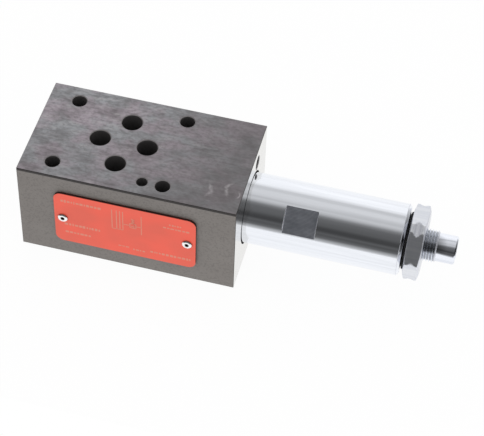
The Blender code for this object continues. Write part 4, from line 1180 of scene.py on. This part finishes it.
@dataclass
class NamePlate:
    """The red plate with its faint print, and the two tubular rivets that hold it.

    Attributes:
        corner_radius, corner_steps: the plate's corners, and the points round each.
        edge_reach: how far its front edge is rounded.
        edge_depth: how far inside the outline the sheet's flat faces start, as a share of the
            corners' radius.
        hole_radius, over: the rivet holes' radius, and how far their cuts reach past the sheet.
        print_height: how thick the ink is.
        stroke: how wide the symbol's lines are.
        bar_rows: (start, height, length, half height) of each row of bars, from the middle.
        bar_width, bar_gap, bar_fill: the least and the most of a bar's width, of the gap after
            it, and of the share of the row's height that it fills.
        head_radius, head_height, head_edge: a rivet's head, and its rolled edge.
        bore_radius, bore_depth, bore_edge: its bore, and that one's edge.
        shank_radius, shank_length: its shank inside the block.
        sharp: the angle in degrees past which the sheet's edges stay sharp.
        sheet_lean, head_lean: a face that looks less squarely to the front than this counts
            as the sheet's edge, or as a head's.
        bore_margin: how far round a rivet's bore its faces get the painted shade.
    """

    corner_radius: float = 3.0
    corner_steps: int = 16
    edge_reach: float = 0.12
    edge_depth: float = 0.6
    hole_radius: float = 1.3
    over: float = 1.0
    print_height: float = 0.015
    stroke: float = 0.36
    bar_rows: tuple[tuple[float, float, float, float], ...] = (
        (-23.5, 9.0, 14.5, 0.7), (-22.5, -3.0, 13.0, 0.7), (-22.3, -7.2, 9.0, 0.5), (16.4, 8.3, 4.0, 0.4),
        (14.2, 6.4, 9.5, 0.45), (-2.5, -8.6, 4.0, 0.4), (3.0, -9.2, 3.5, 0.4), (9.4, -8.4, 14.5, 0.65),
    )
    bar_width: Point = (0.4, 1.3)
    bar_gap: Point = (0.25, 0.5)
    bar_fill: Point = (0.6, 1.0)
    head_radius: float = 1.8
    head_height: float = 0.6
    head_edge: Point = (0.25, 0.35)
    bore_radius: float = 0.7
    bore_depth: float = 2.6
    bore_edge: Point = (0.15, 0.1)
    shank_radius: float = 1.25
    shank_length: float = 5.0
    sharp: float = 40.0
    sheet_lean: float = 0.3
    head_lean: float = 0.2
    bore_margin: float = 0.03

    def __post_init__(self) -> None:
        """Takes the plate's corners and the rivets' places from the frame."""
        self.low, self.high, self.middle = extent("name_plate")
        self.thick = self.high[1] - self.low[1]
        self.half = (self.high - self.low) / 2
        self.rivets = {side: extent(f"plate_rivet_{side}") for side in ("left", "right")}

    def outline(self, inset: np.ndarray) -> np.ndarray:
        """The plate's rounded outline, drawn in by some insets.

        Each quarter is an arc of the corner radius about its own centre, and the straight
        sides run between the arcs.

        Args:
            inset: how far each ring is drawn in, in mm.

        Returns:
            Points (ring, column, 2) across and up from the middle.
        """
        quarter = np.linspace(0.0, math.pi / 2, self.corner_steps)
        angle = np.concatenate([quarter + turn * math.pi / 2 for turn in range(4)])
        right = np.repeat([1, -1, -1, 1], self.corner_steps)
        upper = np.repeat([1, 1, -1, -1], self.corner_steps)
        radius = self.corner_radius - inset[:, None]
        across = right * (self.half[0] - self.corner_radius) + radius * np.cos(angle)
        upward = upper * (self.half[2] - self.corner_radius) + radius * np.sin(angle)
        ring = np.stack([across, upward], axis=-1)
        return np.concatenate([ring, ring[:, :1]], axis=1)

    def build_plate(self) -> None:
        """The sheet: its outline carried over a rounded edge, closed front and back, then punched."""
        inner = self.corner_radius * self.edge_depth
        edge = [(0.0, inner), (0.0, 0.0), (self.thick, 0.0), (self.thick, inner)]
        depth, inset = np.moveaxis(softened(edge, self.edge_reach)[:, 0], -1, 0)
        ring = self.outline(inset)
        back = np.broadcast_to(self.high[1] - depth[:, None], ring.shape[:2])
        points = np.stack([self.middle[0] + ring[..., 0], back, self.middle[2] + ring[..., 1]], axis=-1)
        plate = surface("red_name_plate", points)
        mend(plate.data, fill=True)
        radius = self.hole_radius
        far = self.thick + self.over
        hole = [(-self.over, 0.0), (-self.over, radius), (far, radius), (far, 0.0)]
        punches = []
        for side, (_, _, (x, _, z)) in self.rivets.items():
            punches.append((f"punch_{side}", hole, Axis((x, self.high[1], z), *FORWARDS), SMALL_COLUMNS))
        drilled(plate, punches, self.sharp)
        edges = np.abs(faces_of(plate.data)[1][:, 1]) < self.sheet_lean
        settle(plate, (PLATE_RED, DARK_EDGE_AND_SHADE), "block", "red_plate", "name_plate", kinds=edges)

    def field_bars(self) -> list[tuple[float, float, float, float, float]]:
        """Short bars in rows, where the plate has its data fields.

        Returns:
            Each bar's ends as x, z, x, z, and half its height.
        """
        draw = np.random.default_rng(6)
        bars = []
        for start, height, length, half in self.bar_rows:
            x = start
            while x < start + length:
                width = draw.uniform(*self.bar_width)
                bars.append((x, height, x + width, height, half * draw.uniform(*self.bar_fill)))
                x += width + draw.uniform(*self.bar_gap)
        return bars

    def symbol_lines(self) -> list[tuple[float, float, float, float]]:
        """The standard drawing of a relief valve between two of four lines.

        Returns:
            Each stroke's ends as x, z, x, z.
        """
        top = 10.0
        low = 0.2
        lines = [(x, top, x, low) for x in (-4.6, -2.9, -1.7, -0.6)]
        lines += [(-4.6, low, -0.6, low), (6.2, top - 0.6, 6.2, low - 0.6)]
        lines += [(2.0, 4.6, 4.2, 4.6), (2.0, 2.4, 4.2, 2.4), (2.0, 4.6, 2.0, 2.4), (4.2, 4.6, 4.2, 2.4)]
        lines += [(-0.6, 3.5, 2.0, 3.5), (4.2, 3.5, 6.2, 3.5), (2.4, 3.2, 3.7, 3.2)]
        lines += [(3.2, 3.7, 3.7, 3.2), (3.2, 2.8, 3.7, 3.2)]
        zigzag = [(3.1 + 0.6 * (-1) ** step, 4.6 + 0.5 * step) for step in range(6)]
        return lines + [(*start, *stop) for start, stop in zip(zigzag, zigzag[1:])]

    def build_print(self) -> None:
        """The print: each stroke is a thin box whose length runs between its two ends."""
        bars = np.array(self.field_bars())
        lines = np.array(self.symbol_lines())
        ends = np.concatenate([bars[:, :4], lines])
        wide = np.concatenate([bars[:, 4], np.full(len(lines), self.stroke / 2)])
        start = ends[:, None, :2]
        way = ends[:, None, 2:] - start
        along = way / np.linalg.norm(way, axis=-1, keepdims=True)
        across = np.stack([-along[..., 1], along[..., 0]], axis=-1) * wide[:, None, None]
        corner = box_corners([(0, 1), (-1, 1), (0, 1)])
        flat = start + corner[:, 0:1] * way + corner[:, 1:2] * across
        front = np.broadcast_to(self.low[1] - corner[:, 2] * self.print_height, flat.shape[:2])
        points = np.stack([self.middle[0] + flat[..., 0], front, self.middle[2] + flat[..., 1]], axis=-1)
        quads = np.array(BOX_QUADS) + np.arange(len(ends))[:, None, None] * len(corner)
        ink = placed("plate_print", points.reshape(-1, 3), quads.reshape(-1, 4).tolist(), weld=False)
        settle(ink, (PRINT,), "block", "red_plate")

    def build_rivets(self) -> None:
        """Two tubular rivets, their heads rolled round the bore."""
        head = self.head_height
        rim = self.head_radius
        bore = self.bore_radius
        foot = -self.thick - self.shank_length
        corners = [
            (foot, 0.0), (foot, self.shank_radius), (0.0, self.shank_radius), (0.0, rim),
            (head - self.head_edge[0], rim), (head, rim - self.head_edge[1]),
            (head, bore + self.bore_edge[1]), (head - self.bore_edge[0], bore),
            (head - self.bore_depth, bore), (head - self.bore_depth, 0.0),
        ]
        for side, (low, _, (x, _, z)) in self.rivets.items():
            axis = Axis((x, low[1] + head, z), *FORWARDS)
            rivet = turned(f"tubular_rivet_{side}", corners, axis, self.edge_reach, columns=SMALL_COLUMNS)
            centre, normal = faces_of(rivet.data)
            # Painted shade: the bore and the head's side wall take the dark finish.
            inside = np.hypot(centre[:, 0] - x, centre[:, 2] - z) < bore + self.bore_margin
            dark = inside | (np.abs(normal[:, 1]) < self.head_lean)
            node = f"plate_rivet_{side}"
            settle(rivet, (RIVET_METAL, DARK_EDGE_AND_SHADE), "block", "zinc_plate", node, kinds=dark)

    def build(self) -> None:
        """The plate, its print and its rivets."""
        self.build_plate()
        self.build_print()
        self.build_rivets()


@dataclass
class Cartridge:
    """The screwed-in body, its root seal, and the seals and plug that the block carries.

    Attributes:
        radius, chamfer, root_chamfer: the barrel, its outer rim's and its root's chamfer.
        flat_reach, flat_angle: the spanner flats' distance from the axis and their direction.
        flat_start, flat_end: where the flats lie along the axis.
        worn_edge: how far the flats' end edges are worn.
        flat_step: the angle between the columns on each side of a flat's edge.
        flat_share, edge_lean: how squarely a face looks along the flats' direction to count
            as milled, and along the axis to count as a burnished edge.
        neck_steps, neck_radius: the threaded neck's (x, radius) steps in the block, and the
            radius of its last groove under the barrel.
        bore_steps: the (x, radius) steps of the bore, from the outer end inwards.
        root, end: where the barrel starts and ends along the axis.
        edge_reach: how far its corners are rounded.
        ring_half, ring_radius, ring_gap: the root ring's half thickness, its radius, and how
            far it is squeezed back from the rim.
        seal_inner, seal_height, seal_half, seal_power: a port seal's inner radius, the height of
            its middle, half its thickness, and how square its section is.
        cup_wall, cup_floor, cup_reach, ball_steps: the plug's cup, and the rows of its ball.
    """

    radius: float = 13.0
    chamfer: float = 1.0
    root_chamfer: float = 0.3
    flat_reach: float = 12.0
    flat_angle: float = math.radians(138.8)
    flat_start: float = 61.6
    flat_end: float = 73.1
    worn_edge: float = 0.25
    flat_step: float = math.radians(0.12)
    flat_share: float = 0.9999
    edge_lean: float = 0.3
    neck_steps: tuple[Point, ...] = (
        (28.9, 8.6), (28.9, 10.05), (29.7, 10.85), (44.07, 10.85), (44.07, 10.57),
    )
    neck_radius: float = 10.57
    bore_steps: tuple[Point, ...] = (
        (104.3, 6.05), (91.1, 6.05), (91.1, 7.6), (35.25, 7.6), (35.25, 8.6), (31.2, 8.6), (31.2, 9.2),
        (30.1, 9.2), (30.1, 8.6),
    )
    root: float = 46.0
    end: float = 104.3
    edge_reach: float = 0.12
    ring_half: float = 0.925
    ring_radius: float = 11.535
    ring_gap: float = 0.04
    seal_inner: float = 4.65
    seal_height: float = 0.7
    seal_half: float = 0.66
    seal_power: float = 3.0
    cup_wall: float = 0.8
    cup_floor: float = 1.2
    cup_reach: float = 0.15
    ball_steps: int = 25

    def __post_init__(self) -> None:
        """Takes the axis from the frame."""
        self.axis = cartridge_axis()

    def columns(self) -> np.ndarray:
        """The body's columns, with three at each place where a flat meets the round.

        Returns:
            Their angles in radians, over one closed turn.
        """
        half = math.acos(self.flat_reach / self.radius)
        edges = [
            self.flat_angle + side + sign * half + step
            for side in (0.0, math.pi)
            for sign in (-1, 1)
            for step in (-self.flat_step, 0.0, self.flat_step)
        ]
        return full_turn(COLUMNS, edges)

    def profile(self, angles: np.ndarray) -> list[tuple[Reach, Reach]]:
        """The body as one closed section: neck, barrel with flats, and bores.

        Where the flats are, the radius is the lesser of r and reach / |cos(angle)|.

        Args:
            angles: the columns' angles in radians.

        Returns:
            Its (x, radius) corners.
        """
        lean = np.maximum(np.abs(np.cos(angles - self.flat_angle)), 1e-6)
        flat = np.minimum(self.radius, self.flat_reach / lean)
        full = np.full_like(flat, self.radius)
        worn = np.minimum(self.worn_edge, (full - flat) / 2)
        return [
            *self.neck_steps, (self.root, self.neck_radius), (self.root, self.radius - self.root_chamfer),
            (self.root + self.root_chamfer, self.radius), (self.flat_start - worn, full),
            (self.flat_start, full - worn), (self.flat_start, flat), (self.flat_end, flat),
            (self.flat_end, full - worn), (self.flat_end + worn, full),
            (self.end - self.chamfer, self.radius), (self.end, self.radius - self.chamfer), *self.bore_steps,
        ]

    def build_body(self) -> None:
        """The body, its flats milled and its outer edges burnished."""
        angles = self.columns()
        rows = softened(per_angle(self.profile(angles), angles), self.edge_reach, closed=True)
        body = surface("cartridge_barrel", self.axis.carry(rows, angles))
        centre, normal = faces_of(body.data)
        x = centre[:, 0]
        outward = np.array([0.0, math.cos(self.flat_angle), math.sin(self.flat_angle)])
        facing = np.abs(normal @ outward) > self.flat_share
        milled = facing & (x > self.flat_start) & (x < self.flat_end)
        beside = np.minimum(np.abs(x - self.flat_start), np.abs(x - self.flat_end))
        burnished = (beside < self.worn_edge + self.edge_reach) & (np.abs(normal[:, 0]) > self.edge_lean)
        rim = np.abs(x - self.end + self.chamfer) < self.edge_reach
        kinds = np.where(milled, 1, np.where(burnished | rim, 2, 0))
        finishes = (BRIGHT_ZINC, FLAT_ZINC, ZINC_EDGE)
        settle(body, finishes, "block", "zinc_plate", "cartridge_body", kinds=kinds)

    def build_seals(self) -> None:
        """The root ring and the four port seals."""
        half = self.ring_half
        section = round_section((self.root - self.ring_gap - half, self.ring_radius), half, half, 2.0)
        ring = turned("barrel_root_ring", section, self.axis, 0.0, closed=True)
        settle(ring, (RUBBER,), "block", "nitrile_rubber", "mouth_seal")
        for letter in "pabt":
            low, high, middle = extent(f"port_seal_{letter}")
            outer = (high[0] - low[0]) / 2
            inner = self.seal_inner
            centre = (self.seal_height, (outer + inner) / 2)
            section = round_section(centre, self.seal_half, (outer - inner) / 2, self.seal_power)
            axis = Axis((middle[0], middle[1], 0.0), *UPWARDS)
            seal = turned(f"square_seal_{letter}", section, axis, 0.0, closed=True)
            settle(seal, (RUBBER,), "block", "nitrile_rubber", f"port_seal_{letter}")

    def build_plug(self) -> None:
        """The expander plug: a deep cup, and the ball pressed into it."""
        low, high, middle = extent("gallery_plug_cup")
        depth = high[0] - low[0]
        outer = (high[2] - low[2]) / 2
        bore = outer - self.cup_wall
        floor = self.cup_floor - depth
        corners = [(-depth, 0.0), (-depth, outer), (0.0, outer), (0.0, bore), (floor, bore), (floor, 0.0)]
        axis = Axis((high[0], middle[1], middle[2]))
        cup = turned("plug_cup", corners, axis, self.cup_reach, columns=SMALL_COLUMNS)
        settle(cup, (PLUG_STEEL,), "block", "ground_steel", "gallery_plug_cup")
        low, high, middle = extent("gallery_plug_ball")
        radius = (high[0] - low[0]) / 2
        lean = np.linspace(0.0, math.pi, self.ball_steps)
        arc = np.stack([-radius * np.cos(lean), radius * np.sin(lean)], axis=-1)
        ball = surface("plug_ball", Axis(tuple(middle)).carry(arc[:, None], full_turn(SMALL_COLUMNS)))
        settle(ball, (PLUG_STEEL,), "block", "hardened_steel", "gallery_plug_ball")

    def build(self) -> None:
        """The body and what seals it."""
        self.build_body()
        self.build_seals()
        self.build_plug()


@dataclass
class AdjustingEnd:
    """The adjusting screw with its real thread, the lock nut, its washer and the main spring.

    Attributes:
        pitch, thread_radius, thread_depth: the thread and its crests' radius.
        thread_start, thread_end, thread_chamfer: where it runs along the axis, and its end cone.
        thread_phases: where the profile turns in one pitch: crest, root, root, crest.
        rows_a_turn: how many rows of points the helix has in a turn.
        tip_steps: the (x, radius) steps of the tip and the collar under the thread.
        pin_radius, pin_end, pin_chamfer: the smooth end.
        pin_margin: how far before the thread's end its finish starts.
        corner_reach: how far the screw's corners are rounded.
        socket_width, socket_depth, socket_rounding: the hexagon socket and its corners.
        socket_chamfer, socket_cone: its mouth's chamfer and its floor's cone.
        nut_width, nut_face_inset, nut_chamfer_angle: the nut across its flats, how much smaller
            its round faces are, and its cones.
        nut_mouth, nut_reach, nut_rows: its bore's chamfer, its edges, and its rows of points.
        nut_corner_angle, nut_corners: one corner's angle, and the corners' least and most radius.
        nut_corner_steps: where a corner has columns, as shares of its rounding's half angle.
        nut_edge_lean: how squarely a face looks along the axis to count as a burnished edge.
        nut_bruise, nut_bruise_reach, nut_bruise_columns: how far the bruise's plane lies from the
            axis at the faces and in the middle, its half angle, and its columns.
        bore_radius: the bore of nut and washer.
        washer_power: how square the washer's section is.
        wire, coils, coil_gap: the spring's wire, its turns, and the gap in its end coils.
        meeting_turn: the turn where its two runs meet.
        wire_sides, coil_steps: the points round the wire, and along a turn.
    """

    pitch: float = 1.0
    thread_radius: float = 5.9
    thread_depth: float = 0.6
    thread_start: float = 89.05
    thread_end: float = 115.8
    thread_chamfer: float = 0.6
    thread_phases: tuple[float, ...] = (0.0625, 0.375, 0.625, 0.9375)
    rows_a_turn: int = 16
    tip_steps: tuple[Point, ...] = (
        (84.25, 0.0), (84.25, 3.5), (84.75, 4.0), (86.05, 4.0), (86.05, 6.9), (89.05, 6.9),
    )
    pin_radius: float = 5.15
    pin_end: float = 122.6
    pin_chamfer: float = 0.5
    pin_margin: float = 0.02
    corner_reach: float = 0.1
    socket_width: float = 5.0
    socket_depth: float = 5.5
    socket_rounding: float = 0.1
    socket_chamfer: float = 0.25
    socket_cone: float = 0.6
    nut_width: float = 24.0
    nut_face_inset: float = 0.6
    nut_chamfer_angle: float = math.radians(15.0)
    nut_mouth: float = 0.6
    nut_reach: float = 0.2
    nut_rows: int = 9
    nut_corner_angle: float = math.radians(50.0)
    nut_corners: Point = (0.7, 3.4)
    nut_corner_steps: tuple[float, ...] = (-1.6, -1.0, -0.6, -0.25, 0.0, 0.25, 0.6, 1.0, 1.6)
    nut_edge_lean: float = 0.3
    nut_bruise: Point = (12.95, 12.15)
    nut_bruise_reach: float = 0.3
    nut_bruise_columns: int = 61
    bore_radius: float = 6.05
    washer_power: float = 2.3
    wire: float = 2.8
    coils: float = 8.0
    coil_gap: float = 0.12
    meeting_turn: float = 2.5
    wire_sides: int = 20
    coil_steps: int = 48

    def __post_init__(self) -> None:
        """Takes the axis from the frame."""
        self.axis = cartridge_axis()

    def hexagon(self, angles: np.ndarray, width: float, corner: float, rounding: float) -> np.ndarray:
        """A rounded hexagon's radius at each angle.

        On a flat it is half the width over cos(angle from the flat's middle). Round a corner it
        is the far side of a circle that touches both flats.

        Args:
            angles: where to measure, in radians.
            width: across the flats.
            corner: the angle of one corner.
            rounding: the radius of the corners.

        Returns:
            The radius at each angle.
        """
        sixth = math.tau / 6
        lean = np.mod(angles - corner + sixth / 2, sixth) - sixth / 2
        flat = width / 2 / np.cos(sixth / 2 - np.abs(lean))
        centre = (width / 2 - rounding) / math.cos(sixth / 2)
        inside = np.maximum(rounding**2 - (centre * np.sin(lean)) ** 2, 0.0)
        arc = centre * np.cos(lean) + np.sqrt(inside)
        touch = math.atan2(rounding * math.sin(sixth / 2), centre + rounding * math.cos(sixth / 2))
        return np.where(np.abs(lean) < touch, arc, flat)

    def thread_rows(self, angles: np.ndarray) -> np.ndarray:
        """The thread: a row of its flank profile carried along the helix.

        Row k lies at x = start + pitch (k / rows + angle / full turn - 1), held between the
        thread's ends, and its radius is the profile at its phase x / pitch - angle / full turn.
        A crest is an eighth of the pitch wide and a root a quarter.

        Args:
            angles: the columns' angles in radians.

        Returns:
            The rows as (row, column, 2).
        """
        turns = (self.thread_end - self.thread_start) / self.pitch + 1.0
        rows = np.arange(math.ceil(turns * self.rows_a_turn) + 1)[:, None]
        turned_by = angles[None, :] / math.tau
        x = self.thread_start + self.pitch * (rows / self.rows_a_turn + turned_by - 1.0)
        x = np.clip(x, self.thread_start, self.thread_end)
        phase = np.mod((x - self.thread_start) / self.pitch - turned_by, 1.0)
        crest = self.thread_radius
        root = crest - self.thread_depth
        radius = np.interp(phase, self.thread_phases, (crest, root, root, crest))
        cone = self.pin_radius + (self.thread_end - x) * (crest - self.pin_radius) / self.thread_chamfer
        return np.stack([x, np.minimum(radius, cone)], axis=-1)

    def build_screw(self) -> None:
        """Tip, collar, thread, smooth end and hexagon socket, as one skin."""
        angles = full_turn(SMALL_COLUMNS)
        tip = [*self.tip_steps, (self.thread_start, self.thread_radius - self.thread_depth)]
        pin = self.pin_radius
        end = self.pin_end
        mouth = self.socket_chamfer
        floor = end - self.socket_depth
        socket = self.hexagon(angles, self.socket_width, 0.0, self.socket_rounding)
        head = [
            (self.thread_end, pin), (end - self.pin_chamfer, pin), (end, pin - self.pin_chamfer),
            (end, socket + mouth), (end - mouth, socket), (floor, socket), (floor - self.socket_cone, 0.0),
        ]
        before, after = (softened(per_angle(corners, angles), self.corner_reach) for corners in (tip, head))
        profile = np.concatenate([before, self.thread_rows(angles), after])
        screw = surface("threaded_adjusting_screw", self.axis.carry(profile, angles))
        x = faces_of(screw.data)[0][:, 0]
        cone_start = self.thread_end - self.thread_chamfer
        kinds = np.where(x > self.thread_end - self.pin_margin, 1, np.where(x > cone_start, 2, 0))
        finishes = (THREAD_ZINC, PIN_ZINC, ZINC_EDGE)
        settle(screw, finishes, "screw", "zinc_plate", "adjusting_screw", kinds=kinds)

    def nut_row(self, angles: np.ndarray, share: float) -> np.ndarray:
        """The nut's radius at each angle, a share of the way from its front to its back.

        Spanners have rounded its corners: a corner's radius grows by the fourth power of a sine
        from either side to the middle. The upper front corner is bruised flat: a plane across
        it, whose distance from the axis shrinks in the same way.

        Args:
            angles: where to measure, in radians.
            share: 0 at the front cone and 1 at the back one.

        Returns:
            The radius at each angle.
        """
        corner = self.nut_corner_angle
        middle = math.sin(math.pi * share) ** 4
        (least, most), (far, near) = self.nut_corners, self.nut_bruise
        rounded = self.hexagon(angles, self.nut_width, corner, least + (most - least) * middle)
        toward = np.maximum(np.cos(angles - corner - math.tau / 6), 0.5)
        return np.minimum(rounded, (far + (near - far) * middle) / toward)

    def nut_columns(self) -> np.ndarray:
        """The nut's columns, close together across its bruise and round each corner.

        Returns:
            Their angles in radians, over one closed turn.
        """
        corner = self.nut_corner_angle
        reach = self.nut_bruise_reach
        columns = [*(corner + math.tau / 6 + np.linspace(-reach, reach, self.nut_bruise_columns))]
        for rounding in self.nut_corners:
            touch = math.asin(rounding / self.nut_width)
            for step in self.nut_corner_steps:
                columns += [corner + math.tau * side / 6 + step * touch for side in range(6)]
        return full_turn(COLUMNS, columns)

    def build_nut(self) -> None:
        """The nut: a cone meets each side where the cone's radius equals the hexagon's."""
        low, high, _ = extent("lock_nut")
        start = low[0]
        end = high[0]
        angles = self.nut_columns()
        face = self.nut_width / 2 - self.nut_face_inset
        drop = (self.nut_row(angles, 0.0) - face) * math.tan(self.nut_chamfer_angle)
        sides = []
        for share in np.linspace(0.0, 1.0, self.nut_rows):
            sides.append((start + drop + share * (end - start - 2 * drop), self.nut_row(angles, share)))
        bore = self.bore_radius
        mouth = self.nut_mouth
        corners = [
            (start, bore + mouth), (start, face), *sides, (end, face), (end, bore + mouth),
            (end - mouth, bore), (start + mouth, bore),
        ]
        rows = softened(per_angle(corners, angles), self.nut_reach, closed=True)
        nut = surface("hexagon_lock_nut", self.axis.carry(rows, angles))
        centre, normal = faces_of(nut.data)
        outside = np.hypot(centre[:, 1], centre[:, 2] - self.axis.origin[2]) > face
        burnished = outside & (np.abs(normal[:, 0]) > self.nut_edge_lean)
        settle(nut, (NUT_ZINC, ZINC_EDGE), "nut", "zinc_plate", "lock_nut", kinds=burnished)

    def build_washer(self) -> None:
        """The seal washer, its rim rounded where it is squeezed out."""
        low, high, middle = extent("nut_seal")
        half = (high[0] - low[0]) / 2
        rim = (high[2] - low[2]) / 2
        bore = self.bore_radius
        section = round_section((middle[0], (rim + bore) / 2), half, (rim - bore) / 2, self.washer_power)
        washer = turned("nut_seal_washer", section, self.axis, 0.0, closed=True)
        settle(washer, (RUBBER,), "nut_washer", "nitrile_rubber", "nut_seal")

    def wire_run(self, name: str, turn: np.ndarray, x: np.ndarray, mean: float) -> Piece:
        """A run of round wire carried along a helix.

        The wire's centre lies at angle 2 pi n after n turns. Its section is a circle in the
        plane of the radius and of X, and its ends are drawn to a point to close them.

        Args:
            name: the mesh object's name.
            turn: how many turns each section lies from the spring's start.
            x: where each section lies along the axis, in mm.
            mean: the coils' radius at the wire's centre, in mm.

        Returns:
            The run.
        """
        thick = np.pad(np.full_like(turn, self.wire / 2), 1)[:, None]
        around = np.linspace(0.0, math.tau, self.wire_sides + 1)
        angle = math.tau * np.pad(turn, 1, mode="edge")[:, None]
        radius = mean + thick * np.cos(around)
        along = np.pad(x, 1, mode="edge")[:, None] + thick * np.sin(around)
        height = self.axis.origin[2] + radius * np.sin(angle)
        return surface(name, np.stack([along, radius * np.cos(angle), height], axis=-1))

    def build_spring(self) -> None:
        """The main spring, closed at both ends, as two runs of wire that meet in the coils.

        The first run lies between the poppet, whose plate it pushes, and the block. The
        second lies between the block and the adjuster's piston.
        """
        low, high, _ = extent("main_spring")
        mean = (high[2] - low[2] - self.wire) / 2
        closed = self.wire + self.coil_gap
        opened = high[0] - low[0] - self.wire - 2 * closed
        knots = [0.0, 1.0, self.coils - 1.0, self.coils]
        places = low[0] + self.wire / 2 + np.cumsum([0.0, closed, opened, closed])
        meet = np.interp(self.meeting_turn, knots, places)
        runs = (
            ("spring_front_coils", 0.0, self.meeting_turn, "poppet", places[1], "block", meet),
            ("spring_rear_coils", self.meeting_turn, self.coils, "block", meet, "adjuster", places[2]),
        )
        for name, first, last, near_body, near, far_body, far in runs:
            turn = np.linspace(first, last, round((last - first) * self.coil_steps) + 1)
            run = self.wire_run(name, turn, np.interp(turn, knots, places), mean)
            run.data.materials.append(SPRING_WIRE.material())
            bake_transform(run)
            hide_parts("main_spring")
            log.info("%s bends between %s and %s", name, near_body, far_body)

    def build(self) -> None:
        """The screw, the nut, the washer and the spring."""
        self.build_screw()
        self.build_nut()
        self.build_washer()
        self.build_spring()


@dataclass
class InnerPieces:
    """The pieces inside the cartridge, whose solids already have their shape.

    Attributes:
        finishes: each node's name and finish.
    """

    finishes: tuple[tuple[str, Finish], ...] = (
        ("valve_sleeve", HARD_STEEL),
        ("poppet", HARD_STEEL),
        ("spring_plate", BARE_STEEL),
        ("adjuster_piston", BARE_STEEL),
        ("sleeve_retaining_ring", SPRING_WIRE),
        ("sleeve_seal", RUBBER),
        ("adjuster_seal", RUBBER),
        ("sleeve_backup_ring", FLUOROPLASTIC),
    )

    def dress(self) -> None:
        """Gives each one the finish of the real piece."""
        for name, finish in self.finishes:
            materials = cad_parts[name].data.materials
            materials.clear()
            materials.append(finish.material())
            log.info("%s keeps its solid, in %s", name, finish.name)


def main() -> None:
    """Builds the studio and the sub-assemblies in order."""
    logging.basicConfig(level=logging.INFO, format="%(name)s: %(message)s")
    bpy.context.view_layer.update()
    Studio().build()
    PortedBlock().build()
    NamePlate().build()
    Cartridge().build()
    AdjustingEnd().build()
    InnerPieces().dress()


if __name__ == "__main__":
    main()
